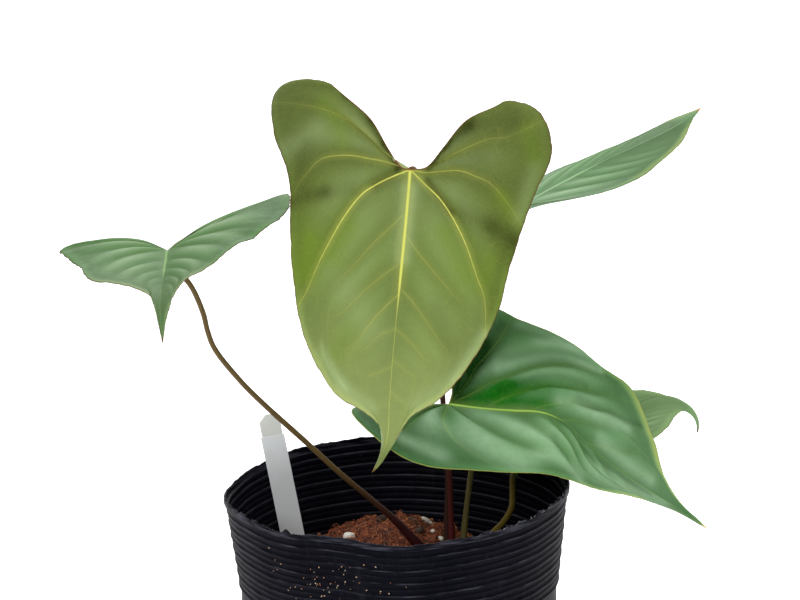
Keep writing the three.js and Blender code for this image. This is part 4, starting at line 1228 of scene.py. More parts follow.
# The leaf, the route, the slot, the stalk's radius and the radius of its sheath
STALKS = {
    "stalk_main": ("leaf_main", [(26.6, 6, 116), (26.6, 6.5, 135), (26.6, 6.5, 165), (24, 6, 205),
                                 (21, 0, 250), (16, -15, 300), (11, -31, 328)],
                   "stalk_maroon", 1.5, 2.4),
    "stalk_right": ("leaf_right", [(29.6, 0.5, 116), (28.8, 1, 135), (27.6, 1.5, 165),
                                   (26.8, 2, 188)],
                    "stalk_maroon", 1.5, 2.1),
    "stalk_left": ("leaf_left", [(22.5, 0, 116), (16.5, -1, 122), (10.7, -2, 128.5), (0, -3.5, 141),
                                 (-12, -5.5, 153), (-28, -8, 168), (-47, -10, 187), (-69, -13, 209),
                                 (-80, -14, 221), (-93, -16, 239), (-96.5, -17, 249),
                                 (-98.5, -17, 258), (-105, -19, 274)],
                   "stalk_olive", 1.45, 3.0),
    "stalk_back": ("leaf_back", [(34, 6, 116), (35, 9, 127), (39, 19.5, 160), (45, 45, 195),
                                 (50, 72, 236), (56, 77, 262)],
                   "stalk_olive", 1.5, 2.1),
    "stalk_low": ("leaf_low", [(35, 0, 116), (42, 1.5, 124), (50, 5, 131.5), (56.5, 12, 136),
                               (60.6, 19, 141.5), (61.2, 26, 148), (61.4, 30.5, 154)],
                  "stalk_olive", 1.7, 2.2),
}


def stalk_radius(run, length, girth, sheath, joint):
    """The radius along a stalk: a slight taper, a wider sheath at the foot, a swollen joint and
    a faint unevenness."""
    radius = girth * (1 - 0.05 * run / length)
    radius += (sheath - girth) * smooth_step(1 - run / (SHEATH_REACH * (sheath - 1)))
    radius += JOINT_SWELL * joint
    return radius * (1 + 0.02 * ripple(run / length, 5))


turn = round_angles(STALK_SIDES)
groove = 1 - GROOVE_DEPTH * np.exp(-((np.minimum(turn, 2 * np.pi - turn)) / GROOVE_WIDTH)**2)
for name, (leaf_name, route, slot, girth, sheath) in STALKS.items():
    leaf = LEAVES[leaf_name]
    upper = leaf_frame(leaf)[:, 2]
    top = np.array(leaf["stalk_top"], float)
    last_points = [top - 6 * upper, top - (BLADE_GAP - 0.35) * upper]
    path, length = smooth_route([*route, *last_points], STALK_STEPS)
    run = np.linspace(0, length, len(path))
    joint = smooth_step(1 - np.abs(length - run - JOINT_BELOW_TOP) / JOINT_REACH)
    radius = stalk_radius(run, length, girth, sheath, joint)
    points, faces = tube(path, radius[:, None] * groove[None])
    marks = {"along": np.concatenate([np.repeat(run / length, STALK_SIDES), [0, 1]]),
             "joint": np.concatenate([np.repeat(joint, STALK_SIDES), [0, 1]])}
    across = np.concatenate([np.tile(turn * FLAT_PER_TURN, len(path)), [0, 0]])
    upward = np.concatenate([np.repeat(run, STALK_SIDES), [0, length]])
    put_mesh(name + "_tube", points, faces,
             stalk_finish(name + "_skin", *STALK_COLOURS[name]), [name], marks,
             np.column_stack([across, upward]) / 10)

# %% [markdown]
# ## The pot
# The pot is blown from thin black plastic. Its wall is one sheet, so the rings show inside as
# well as outside. It is a profile turned round the axis: lip, seven rings with a finer line
# between each two, flutes and foot. Soft plastic sags, so the rim dips and rises and the wall
# is pressed in on one side.

# %% Pot shape
POT_HEIGHT = 155
POT_RIM_RADIUS = 90
POT_BASE_RADIUS = 75
POT_WALL = 1.0
POT_FLOOR = 1.6
LIP_HEIGHT = 3.6
LIP_FLARE = 1.2
LIP_PROUD = 0.27
RING_PITCH = 6.6
RING_COUNT = 7
RING_DEPTH = 0.9
RING_WIDTH, LINE_WIDTH, LINE_SHARE = 0.10, 0.07, 0.6
FLUTE_COUNT = 32
FLUTE_DEPTH = 0.7
FLUTE_FROM, FLUTE_EASE, FLUTE_TOP_GAP = 9, 4, 3
RIM_ANGLES = [0, 40, 75, 99, 115, 125, 145, 165, 180, 192, 212, 228, 240, 252, 265, 272, 290, 310,
              330, 345, 360]
RIM_LIFTS = [6.5, 4.5, 3.4, 2.9, 1.4, 1.8, -0.7, -2.4, -1, 2, 3.5, 2.8, 5, 6.5, 3.3, 2.6, 4.9, 6.1,
             7.8, 8.6, 6.5]
WALL_PRESS = 2.6
PRESS_FULL_HEIGHT = 100
PRESS_EASE = 50


def wall_radius(z):
    """The outer radius of the plain wall at height z: a straight line from base to rim."""
    return POT_BASE_RADIUS + (POT_RIM_RADIUS - LIP_FLARE - POT_BASE_RADIUS) * z / POT_HEIGHT


def rim_lift(angle, z):
    """How far the soft rim stands above its nominal height: a table round the rim, evened out,
    which the wall below follows as the cube of its height."""
    degrees = (angle / DEG) % 360
    lift = sum(np.interp((degrees + shift) % 360, RIM_ANGLES, RIM_LIFTS)
               for shift in (-4, 0, 4)) / 3
    return lift * (z / POT_HEIGHT)**3


def wall_press(angle, z):
    """How far the soft wall is pressed in on the left, most at two thirds of its height."""
    share = np.minimum(z / PRESS_FULL_HEIGHT, 1) * smooth_step((POT_HEIGHT - z) / PRESS_EASE)
    return WALL_PRESS * np.maximum(-np.cos(angle), 0)**2 * share


def pot_profile():
    """Heights from foot to rim, and the ring, flute and lip shares at each. A ring is a bell at
    the middle of its pitch, and the finer line is a narrower bell half a pitch on."""
    rings_top = POT_HEIGHT - LIP_HEIGHT
    rings_bottom = rings_top - RING_COUNT * RING_PITCH
    steps = np.array([0, 0.05, 0.11, 0.24, 0.36, 0.42, 0.47, 0.53, 0.58, 0.64, 0.76, 0.89, 0.95])
    ringed = rings_bottom + RING_PITCH * (np.arange(RING_COUNT)[:, None] + steps).ravel()
    lip_steps = np.array([0, 0.25, 0.5, 0.9, 1.4, 1.9, 2.4, 2.9, 3.3, LIP_HEIGHT])
    z = np.concatenate([[0, 0.5, 1.2, 2, 4, 8], np.linspace(10, rings_bottom - FLUTE_TOP_GAP, 14),
                        [rings_bottom - 2], ringed, rings_top + lip_steps])
    phase = (z - rings_bottom) / RING_PITCH
    ring = np.exp(-(((phase % 1) - 0.5) / RING_WIDTH)**2)
    ring = ring + LINE_SHARE * np.exp(-(((phase + 0.5) % 1 - 0.5) / LINE_WIDTH)**2)
    ring = ring * ((phase > 0.5 / RING_PITCH) & (z < rings_top))
    flute = smooth_step((z - FLUTE_FROM) / FLUTE_EASE)
    flute = flute * smooth_step((rings_bottom - FLUTE_TOP_GAP - z) / FLUTE_EASE)
    lip = smooth_step((z - rings_top) / 0.9)
    return z, ring, flute, lip


print("heights in the pot's profile:", len(pot_profile()[0]))

# %% [markdown]
# The wall's radius is a sum: cone, rings, lip, flutes and crumples, less the press of a hand.
# The edge of the lip frays upwards, most in the two places where the rim is torn.

# %% Pot wall
POT_AROUND = 336
FOOT_ROUND, FOOT_INSET = 2, 1.5
FOOT_HEIGHTS = 4
TORN_ARCS = [(292, 352), (188, 242)]
TORN_EASE = 12
FRAY_REACH = 2.2


def torn_share(angle):
    """1 in the torn arcs of the rim and 0 elsewhere, with eased ends."""
    degrees = angle / DEG
    return sum(smooth_step((degrees - start) / TORN_EASE)
               * smooth_step((end - degrees) / TORN_EASE) for start, end in TORN_ARCS)


def outer_radius(A, Z, ring, flute, lip):
    """The outside of the wall over angles A and heights Z, with the foot's edge rounded off."""
    outer = wall_radius(Z) + (ring - 0.3) * RING_DEPTH
    outer = outer + lip * (POT_RIM_RADIUS - wall_radius(Z) + LIP_PROUD)
    outer = outer + flute * FLUTE_DEPTH * np.cos(FLUTE_COUNT * A)
    foot = FOOT_INSET * (1 - np.sqrt(np.clip(Z / FOOT_ROUND, 0, 1)))
    outer = np.where(Z < FOOT_ROUND, outer - foot, outer)
    crumple = 0.22 * ripple(A / (2 * np.pi), 3, (2, 3, 5, 9, 17)) * smooth_step(Z / 60)
    crumple = crumple + 0.10 * np.sin(23 * A + 0.3 * Z) * np.sin(0.21 * Z + 5 * A)
    return outer + crumple - wall_press(A, Z)


def pot_wall(z, ring, flute, lip):
    """Rings of points up the outside and down the inside, to where the floor begins. The inside
    leaves out the heights of the rounded foot, which lie in the floor."""
    A, Z = np.meshgrid(round_angles(POT_AROUND), z)
    outer = outer_radius(A, Z, ring[:, None], flute[:, None], lip[:, None])
    fray = ripple(A / (2 * np.pi), 8, (31, 47, 73, 97, 131)) * (0.3 + 0.8 * torn_share(A))
    fray = lip[:, None] * np.clip((Z - POT_HEIGHT + FRAY_REACH) / FRAY_REACH, 0, 1) * fray
    height = Z + rim_lift(A, Z) + fray
    outside = np.stack([outer * np.cos(A), outer * np.sin(A), height], -1)
    inner = outer - POT_WALL
    within = np.stack([inner * np.cos(A), inner * np.sin(A), np.maximum(height, POT_FLOOR)], -1)
    floor_edge = within[FOOT_HEIGHTS - 1:FOOT_HEIGHTS] * [1, 1, 0] + [0, 0, POT_FLOOR]
    return np.concatenate([outside, within[:FOOT_HEIGHTS - 1:-1], floor_edge])


z, ring, flute, lip = pot_profile()
wall = pot_wall(z, ring, flute, lip)
print("rings of points in the wall:", len(wall))

# %% [markdown]
# Water leaves through six round holes in the floor. To keep every face a plain four-sided one,
# the floor is cut into six equal parts, each a grid that runs from its hole to its own edge.

# %% Pot floor
HOLE_COUNT, HOLE_CIRCLE, HOLE_RADIUS = 6, 52, 5
FLOOR_HUB = 12
FLOOR_STEPS, SIDE_STEPS = 5, 12


def floor_sheets(edge_ring, height):
    """The floor round its holes. Each sixth of it is a grid from its hole to its own edge: a
    part of the outer ring, two straight sides and a part of the ring round the hub."""
    per = len(edge_ring) // HOLE_COUNT
    sheets = []
    for k in range(HOLE_COUNT):
        arc = edge_ring[np.arange(k * per, (k + 1) * per + 1) % len(edge_ring), :2]
        hub = arc * FLOOR_HUB / np.linalg.norm(arc, axis=1, keepdims=True)
        side = np.linspace(0, 1, SIDE_STEPS)[1:-1, None]
        edge = np.vstack([arc, arc[-1] + (hub[-1] - arc[-1]) * side, hub[::-1],
                          hub[0] + (arc[0] - hub[0]) * side])
        turn = 2 * np.pi * (k + 0.5) / HOLE_COUNT
        centre = HOLE_CIRCLE * np.array([np.cos(turn), np.sin(turn)])
        spoke = edge - centre
        hole = centre + HOLE_RADIUS * spoke / np.linalg.norm(spoke, axis=1, keepdims=True)
        flat_sheet = hole + (edge - hole) * np.linspace(0, 1, FLOOR_STEPS)[:, None, None]
        sheets.append(np.dstack([flat_sheet, np.full(flat_sheet.shape[:2], height)]))
    return sheets


def hub_disc(ring, height):
    """The round middle of the floor: the ring round the hub and its centre."""
    hub = ring[:, :2] * FLOOR_HUB / np.linalg.norm(ring[:, :2], axis=1, keepdims=True)
    return np.dstack([np.array([hub, hub * 0]), np.full((2, len(ring)), height)])


def pot_floor(wall):
    """The sheets of the floor's lower and upper face and of its holes' walls. The flag says
    that a sheet's faces have to be turned round to look outwards."""
    sheets = []
    for below, above in zip(floor_sheets(wall[0], 0), floor_sheets(wall[-1], POT_FLOOR)):
        hole_wall = np.array([below[0], above[0]])
        sheets += [(below, False), (above, True), (hole_wall, True)]
    return [*sheets, (hub_disc(wall[0], 0), True), (hub_disc(wall[-1], POT_FLOOR), False)]


print("sheets in the floor:", len(pot_floor(wall)))

# %% [markdown]
# Wall and floor are joined in one mesh. The ring and lip shares go with the points, so that the
# finish can paint a highlight on the crests and the lip, and one more number tells the inside from
# the outside.


# %% Join the pot
def join_sheets(sheets):
    """Points and faces of closed grids put one after the other."""
    points, faces, offset = [], [], 0
    for sheet, turn_round in sheets:
        grid = grid_faces(*sheet.shape[:2], around=True) + offset
        faces.append(grid[:, ::-1] if turn_round else grid)
        points.append(sheet.reshape(-1, 3))
        offset += len(points[-1])
    return np.vstack(points), np.vstack(faces)


points, faces = join_sheets([(wall, False), *pot_floor(wall)])
within_count = len(wall) - len(z)


def per_point(outside, inside):
    """A value per ring of points as one per point, and 0 on the floor."""
    values = np.repeat(np.concatenate([outside, inside]), POT_AROUND)
    return np.concatenate([values, np.zeros(len(points) - len(values))])


pot_marks = dict(inside=per_point(np.zeros(len(z)), np.ones(within_count)),
                 ring=per_point(ring, ring[::-1][:within_count]),
                 lip=per_point(lip, lip[::-1][:within_count]))
first, inverse = shared_points(points)
pot_marks = {key: values[first] for key, values in pot_marks.items()}
points, faces = points[first], tidy_faces(inverse[faces])
print("points of the pot:", len(points))

# %% [markdown]
# Black plastic shows little colour of its own. What one sees is dust, scratches, dried crumbs of
# mix stuck to the wall and a pale scuff, all over a dull gloss. The crests of the rings carry a
# painted highlight, stronger inside the pot, and are a little rougher. The lip has a pale line
# that is partly wear and partly a painted highlight.

# %% Pot finish
# Grey of the painted highlight on the ring crests, and of the lip's line, which is partly wear and
# partly painted highlight.
HIGHLIGHT_AND_WEAR_GREY = (0.09, 0.09, 0.12)
pot_finish = Finish("nursery_plastic", Specular_IOR_Level=0.04)
spot = pot_finish.place()
wide = pot_finish.noise(spot, 22.0, 3.0)
fine = pot_finish.noise(spot, 420.0, 4.0, 0.6)
streak = pot_finish.noise(pot_finish.stretched(spot, (1.0, 1.0, 14.0)), 60.0, 4.0, 0.6)
upright = pot_finish.noise(pot_finish.stretched(spot, (1.0, 1.0, 0.15)), 120.0, 4.0, 0.6)
crest = pot_finish.attribute("ring").ramp(0.35, 0.95)
plastic = pot_finish.mix(wide.ramp(0.3, 0.7), (0.0012, 0.0012, 0.004), (0.0032, 0.003, 0.007))
dust = (fine.ramp(0.55, 0.8) * 0.12 + upright.ramp(0.6, 0.8) * 0.12).clamp()
plastic = pot_finish.mix(dust, plastic, (0.08, 0.08, 0.10))
# Painted highlight on the ring crests, stronger inside the pot.
crest_highlight = crest * (streak.ramp(0.42, 0.68) * 0.45 + pot_finish.attribute("inside") * 0.4)
plastic = pot_finish.mix(crest_highlight.clamp(), plastic, HIGHLIGHT_AND_WEAR_GREY)
# The lip's pale line: partly wear, partly painted highlight.
lip_wear_and_highlight = pot_finish.attribute("lip") * streak.ramp(0.4, 0.7) * 0.5
plastic = pot_finish.mix(lip_wear_and_highlight, plastic, HIGHLIGHT_AND_WEAR_GREY)
scratch = pot_finish.cells(pot_finish.stretched(spot, (1.0, 1.0, 0.35)), 90.0)
scratch = scratch.ramp(0.012, 0.0) * wide.ramp(0.55, 0.7) * 0.2
plastic = pot_finish.mix(scratch, plastic, (0.12, 0.12, 0.14))
pot_rough = 0.42 + fine * 0.16 + crest * 0.06
pot_skin = pot_finish.bump(fine * 0.6 + streak * 0.5, 0.0003, 0.5)
pot_material = pot_finish.wear(Base_Color=plastic, Roughness=pot_rough, Normal=pot_skin)
put_mesh("nursery_pot", points, faces, pot_material, ["pot"], pot_marks)

# %% [markdown]
# ## Potting mix
# The mix is a mound of coir pith with fibres and chips of bark. The mound's own surface is a
# height over the pot's plan with lumps and crumbs, and its sides follow the wall of the pot.

# %% Height of the mix
MOUND_DEPTH = 32
WALL_DEPTH = 60
MOUND_X, MOUND_Y, MOUND_SPREAD = -1, 42, 86
MIX_LUMP = 1.3
SEAT_GAP = 0.3
GOLDEN_ANGLE = 2.399
CRUMB_WAVES = 10
CRUMB_HEIGHT = 0.9


def mix_height(x, y):
    """Height of the mix: a mound that falls away to the walls, plus two products of sines."""
    away = np.hypot(x - MOUND_X, (y - MOUND_Y) * 0.8) / MOUND_SPREAD
    base = POT_HEIGHT - MOUND_DEPTH - (WALL_DEPTH - MOUND_DEPTH) * smooth_step(away)
    lumps = np.sin(0.31 * x + 0.17 * y + 1) * np.sin(0.27 * y - 0.11 * x)
    lumps = lumps + 0.6 * np.sin(0.55 * x - 0.42 * y + 2) * np.cos(0.47 * y + 0.3 * x)
    return base + MIX_LUMP * lumps


def crumbs_of(x, y):
    """Small crumbs on the mound: sines of many directions, each turned by the golden angle."""
    total = 0
    for k in range(CRUMB_WAVES):
        turn = GOLDEN_ANGLE * k
        wave = 0.7 + 0.28 * k
        away = x * np.cos(turn) + y * np.sin(turn)
        total = total + np.sin(wave * away + 1.7 * k) / (1 + 0.25 * k)
    return total / 2.6


print("top of the mound:", round(float(mix_height(MOUND_X, MOUND_Y)), 1), "mm")

# %% Mound
MIX_AROUND = 220
MIX_STEPS = 90
SIDE_GAP = 2.2
floor_z = POT_FLOOR + SEAT_GAP
edge_z = POT_HEIGHT - WALL_DEPTH - 2 * MIX_LUMP
top_radius = wall_radius(POT_HEIGHT - WALL_DEPTH) - POT_WALL - RING_DEPTH / 2 - SEAT_GAP


def mound_rings():
    """Rings of points up the side of the mix and in over its top, to a small ring on the axis."""
    angle = round_angles(MIX_AROUND)
    side = [(wall_radius(2) - 4, floor_z), (wall_radius(12) - SIDE_GAP, 12),
            (wall_radius(60) - SIDE_GAP, 60), (wall_radius(edge_z) - SIDE_GAP, edge_z)]
    rings = []
    for r, h in side:
        r = r - wall_press(angle, h)
        rings.append(np.stack([r * np.cos(angle), r * np.sin(angle), np.full(MIX_AROUND, h)], -1))
    for share in np.linspace(1, 0.01, MIX_STEPS):
        r = (top_radius - 0.4 - wall_press(angle, edge_z)) * share
        x, y = r * np.cos(angle), r * np.sin(angle)
        fade = smooth_step((1 - share) / 0.06)
        crumbs = CRUMB_HEIGHT * crumbs_of(x, y) * fade
        rings.append(np.stack([x, y, np.maximum(mix_height(x, y), edge_z + 0.5) + crumbs], -1))
    return rings


points, faces = capped_rings(mound_rings(), (0, 0, floor_z),
                             (0, 0, float(mix_height(0.0, 0.0))))
mix_finish = Finish("coir_mix")
spot = mix_finish.place()
clump = mix_finish.noise(spot, 160.0, 4.0, 0.6)
grit = mix_finish.noise(spot, 900.0, 3.0, 0.6)
coir = mix_finish.mix(clump.ramp(0.35, 0.65), (0.03, 0.007, 0.004), (0.20, 0.048, 0.016))
coir = mix_finish.mix(grit.ramp(0.58, 0.78) * 0.5, coir, (0.40, 0.15, 0.06))
coir = mix_finish.mix(grit.ramp(0.45, 0.25) * 0.8, coir, (0.03, 0.009, 0.005))
mix_skin = mix_finish.bump(clump + grit * 0.6, 0.0012, 0.8)
mix_material = mix_finish.wear(Base_Color=coir, Roughness=grit * 0.1 + 0.88, Normal=mix_skin)
put_mesh("mix_mound", points, faces, mix_material, ["potting_mix"])

# %% [markdown]
# Thousands of chips lie on the mound, strewn by a seeded draw. A chip is a cube whose eight
# points are pulled out of shape, so it has only six faces, and all of them share one mesh.

# %% Chips
CUBE = np.array([(x, y, z) for x in (-1, 1) for y in (-1, 1) for z in (-1, 1)], float)
CUBE_FACES = np.array([(0, 1, 3, 2), (4, 6, 7, 5), (0, 4, 5, 1), (2, 3, 7, 6), (0, 2, 6, 4),
                       (1, 5, 7, 3)])


def strewn_places(rng, count, reach):
    """Points spread evenly over a disc: the radius is reach times the root of an even draw."""
    r = reach * np.sqrt(rng.uniform(0, 1, count))
    a = rng.uniform(0, 2 * np.pi, count)
    return r * np.cos(a), r * np.sin(a)


def random_turns(rng, count):
    """Evenly spread rotations from random unit quaternions."""
    q = rng.normal(size=(count, 4))
    q /= np.linalg.norm(q, axis=1, keepdims=True)
    w, x, y, z = q.T
    return np.stack([
        np.stack([1 - 2 * (y * y + z * z), 2 * (x * y - z * w), 2 * (x * z + y * w)], -1),
        np.stack([2 * (x * y + z * w), 1 - 2 * (x * x + z * z), 2 * (y * z - x * w)], -1),
        np.stack([2 * (x * z - y * w), 2 * (y * z + x * w), 1 - 2 * (x * x + y * y)], -1)], 1)


def odd_cubes(rng, count, sizes, flattest, pulled):
    """Cubes of random sizes, flattened by random shares and turned, with their points pulled in.
    Gives their points and the half size of each along its own axes."""
    size = rng.uniform(*sizes, (count, 1)) * rng.uniform(flattest, 1.0, (count, 3))
    body = CUBE[None] * size[:, None] * rng.uniform(pulled, 1.0, (count, 8, 1))
    return np.einsum("nij,nkj->nki", random_turns(rng, count), body), size


def cube_faces(count):
    """The faces of count cubes, eight points each."""
    return (CUBE_FACES[None] + 8 * np.arange(count)[:, None, None]).reshape(-1, 4)


def strew_chips(name, count, seed, sizes, tones, reach, sink):
    """Odd cubes dropped on the mound, each sunk by a share of its thinnest half size."""
    rng = np.random.default_rng(seed)
    x, y = strewn_places(rng, count, reach)
    body, size = odd_cubes(rng, count, sizes, 0.35, 0.55)
    base = mix_height(x, y) + CRUMB_HEIGHT * crumbs_of(x, y) - sink * size.min(1) * 0.5
    points = body + np.stack([x, y, base], -1)[:, None]
    put_mesh(name, points.reshape(-1, 3), cube_faces(count), chip_material,
             attributes={"tone": np.repeat(rng.uniform(*tones, count), 8)}, smooth=False)


chip_finish = Finish("coir_chips")
tone = chip_finish.attribute("tone")
grit = chip_finish.noise(chip_finish.place(), 700.0, 3.0)
chips = chip_finish.mix(tone.ramp(0.0, 0.5), (0.02, 0.005, 0.003), (0.22, 0.048, 0.016))
chips = chip_finish.mix(tone.ramp(0.5, 1.0), chips, (0.50, 0.17, 0.065))
chips = chip_finish.mix(grit.ramp(0.55, 0.8) * 0.4, chips, (0.60, 0.28, 0.13))
chip_material = chip_finish.wear(Base_Color=chips, Roughness=grit * 0.1 + 0.85,
                                 Normal=chip_finish.bump(grit, 0.0004, 0.6))
strew_chips("mix_chips", 5200, 41, (0.4, 1.2), (0.0, 1.0), 80, sink=0.3)
strew_chips("mix_lumps", 700, 43, (1.1, 2.4), (0.0, 0.7), 80, sink=0.8)

# %% [markdown]
# A fibre is a thin three-sided tube along a short curl that turns at its own rate. Most lie
# flat, and a few stand up.

# %% Fibres
FIBRES, FIBRE_STEPS = 2600, 7
FIBRE_REACH, MIX_REACH = 78, 80
STANDING_SHARE = 0.06


def lay_strands(name, paths, radius, tone, finish):
    """Three-sided tubes with closed ends: paths is strands x steps x 3, radius strands x steps."""
    strands, steps = paths.shape[:2]
    tangent = np.gradient(paths, axis=1)
    tangent /= np.linalg.norm(tangent, axis=2, keepdims=True) + 1e-9
    across = np.cross(tangent, [0.1, 0.2, 1.0])
    across /= np.linalg.norm(across, axis=2, keepdims=True) + 1e-9
    other = np.cross(tangent, across)
    a = round_angles(3)[:, None]
    wall = across[:, :, None] * np.cos(a) + other[:, :, None] * np.sin(a)
    points = (paths[:, :, None] + wall * radius[:, :, None, None]).reshape(-1, 3)
    last = 3 * (steps - 1)
    ends = [[2, 1, 0, -1], [last, last + 1, last + 2, -1]]
    one = np.vstack([grid_faces(steps, 3, around=True), ends])
    shift = (3 * steps * np.arange(strands))[:, None, None]
    faces = np.where(one[None] < 0, -1, one[None] + shift).reshape(-1, 4)
    put_mesh(name, points, faces, finish, attributes={"tone": np.repeat(tone, 3 * steps)})


rng = np.random.default_rng(77)
x, y = strewn_places(rng, FIBRES, FIBRE_REACH)
t = np.linspace(0, 1, FIBRE_STEPS)[None]
length = rng.uniform(2, 6.5, FIBRES)
turn = rng.uniform(0, 2 * np.pi, FIBRES)[:, None] + rng.normal(0, 0.5, FIBRES)[:, None] * 3 * t
step = length[:, None] / (FIBRE_STEPS - 1)
path_x = x[:, None] + np.cumsum(np.cos(turn) * step, 1)
path_y = y[:, None] + np.cumsum(np.sin(turn) * step, 1)
shrink = np.minimum(1, MIX_REACH / np.maximum(np.hypot(path_x, path_y), 1))
path_x, path_y = path_x * shrink, path_y * shrink
lift = np.abs(rng.normal(0, 0.24, FIBRES)) + 0.7 * (rng.uniform(size=FIBRES) < STANDING_SHARE)
path_z = mix_height(path_x, path_y) + 0.6 * crumbs_of(path_x, path_y) + 0.5
path_z = path_z + length[:, None] * lift[:, None] * t * (1.6 - t)
radius = rng.uniform(0.12, 0.28, FIBRES)[:, None] * (1 - 0.6 * t)
lay_strands("mix_fibres", np.stack([path_x, path_y, path_z], -1), radius,
            rng.uniform(0.2, 1.0, FIBRES), chip_material)

# %% [markdown]
# ## Plain finishes
# The pieces that are left are small, so each has a finish of one kind: two colours that a noise
# mixes, while the same noise makes the skin duller and raises it.


# %% Plain finish
def plain_finish(name, colours, steps, scale, rough, bump, grain=(4.0, 0.55), stretch=None,
                 share=1.0, pits=0, **constants):
    """The second colour shows where the noise passes steps, at most by share. rough is the
    noise's part and the least roughness. Pits, if any, take the noise's place in the bump."""
    finish = Finish(name, **constants)
    place = finish.place()
    pattern = finish.noise(finish.stretched(place, stretch) if stretch else place, scale, *grain)
    colour = finish.mix(pattern.ramp(*steps) * share, *colours)
    height = finish.cells(place, pits, "F1") if pits else pattern
    return finish.wear(Base_Color=colour, Roughness=pattern * rough[0] + rough[1],
                       Normal=finish.bump(height, *bump))


COARSE = (4.0, 0.6)
shred_material = plain_finish("shred_grey", [(0.03, 0.03, 0.04), (0.26, 0.25, 0.26)],
                              (0.4, 0.65), 900.0, (0.2, 0.5), (0.0002, 0.5))
speck_material = plain_finish("speck_cream", [(0.45, 0.18, 0.06), (0.62, 0.50, 0.34)],
                              (0.4, 0.6), 300.0, (0.1, 0.8), (0.0002, 0.5))
perlite_material = plain_finish("perlite_white", [(0.80, 0.77, 0.70), (0.55, 0.36, 0.20)],
                                (0.45, 0.75), 300.0, (0.1, 0.85), (0.0005, 0.8),
                                grain=(3.0, 0.55), share=0.6, pits=1400.0)
bark_material = plain_finish("bark_brown", [(0.018, 0.008, 0.006), (0.10, 0.045, 0.025)],
                             (0.35, 0.7), 260.0, (0.2, 0.7), (0.0006, 0.8), COARSE,
                             stretch=(1.0, 3.0, 6.0))
stem_material = plain_finish("stem_skin", [(0.06, 0.022, 0.015), (0.22, 0.10, 0.055)],
                             (0.35, 0.7), 300.0, (0.2, 0.65), (0.0006, 0.8), COARSE,
                             stretch=(1.0, 1.0, 0.3))
scale_material = plain_finish("scale_pink", [(0.16, 0.05, 0.045), (0.40, 0.18, 0.14)],
                              (0.35, 0.7), 500.0, (0.2, 0.45), (0.0004, 0.5), (3.0, 0.55),
                              stretch=(1.0, 1.0, 0.2))
tag_material = plain_finish("tag_plastic", [(0.70, 0.71, 0.68), (0.52, 0.49, 0.42)],
                            (0.5, 0.8), 60.0, (0.2, 0.35), (0.0002, 0.3), share=0.3)
tape_material = plain_finish("tape_white", [(0.80, 0.82, 0.85), (0.66, 0.65, 0.62)],
                             (0.5, 0.8), 90.0, (0.2, 0.3), (0.0002, 0.3), share=0.25,
                             Coat_Weight=0.3)
print("materials so far:", len(bpy.data.materials))

# %% [markdown]
# ## Shreds and specks
# The pot's rim is torn in two places, and pale shreds of plastic curl out of it there. A few
# grains of mix stick to the wall below.

# %% Shreds
SHREDS, SHRED_STEPS = 70, 7
RIGHT_SHARE = 0.65
rng = np.random.default_rng(19)
on_right = rng.uniform(size=SHREDS) < RIGHT_SHARE
a = np.where(on_right, rng.uniform(298, 347, SHREDS), rng.uniform(193, 238, SHREDS))
t = np.linspace(0, 1, SHRED_STEPS)[None]
length = rng.uniform(1.5, 4.5, SHREDS)[:, None]
swing = rng.normal(0, 0.5, SHREDS)[:, None]
around = a[:, None] * DEG + length * t * swing / POT_RIM_RADIUS
reach = POT_RIM_RADIUS - 0.5 + length * t * rng.uniform(-0.25, 0.35, SHREDS)[:, None]
rim = POT_HEIGHT - 0.8 + rim_lift(around, POT_HEIGHT)
height = rim + length * np.sin(2.4 * t) * rng.uniform(0.15, 0.5, SHREDS)[:, None]
radius = rng.uniform(0.15, 0.3, SHREDS)[:, None] * (1 - 0.7 * t)
lay_strands("rim_shreds", np.stack([reach * np.cos(around), reach * np.sin(around), height], -1),
            radius, rng.uniform(0, 1, SHREDS), shred_material)

# %% Specks
SPECKS = 110
SPECK_ANGLE, SPECK_SPREAD = 247, 13
a = rng.normal(SPECK_ANGLE, SPECK_SPREAD, SPECKS) * DEG
h = np.clip(rng.normal(132, 9, SPECKS), 100, 148)
body, _ = odd_cubes(rng, SPECKS, (0.2, 0.45), 0.6, 0.6)
r = wall_radius(h) - wall_press(a, h)
body += np.stack([r * np.cos(a), r * np.sin(a), h + rim_lift(a, h)], -1)[:, None]
put_mesh("pot_specks", body.reshape(-1, 3), cube_faces(SPECKS), speck_material,
         smooth=False)

# %% [markdown]
# ## Grains of perlite and chips of bark
# Seven larger pieces can be told apart on the mound. Each is a ball of points pushed in and out
# by sines, so perlite is round and pitted and bark is a flat splinter with a coarse grain.

# %% Grains
# Place in plan, size, turn about the upright axis, tilt and seed
GRAINS = {
    "perlite_1": ((-25.4, 35.3), (6.5, 5.0, 5.0), 20, 0, 3),
    "perlite_2": ((16.5, 62), (8.8, 3.6, 3.4), 0, 40, 7),
    "perlite_3": ((19.2, 39.5), (2.6, 2.3, 2.1), 0, 0, 11),
    "perlite_4": ((23.4, 34.5), (4.0, 3.0, 2.8), 10, 0, 5),
    "bark_1": ((-7.5, 50), (6.8, 4.6, 5.4), 15, 10, 2),
    "bark_2": ((9.6, 52), (7.4, 3.8, 2.8), 0, 25, 9),
    "bark_3": ((11.9, 37.5), (5.4, 4.6, 3.8), 40, 0, 13),
}
GRAIN_RISE = 0.15
GRAIN_RINGS, GRAIN_AROUND = 17, 28
POLE_SHARE = 0.48


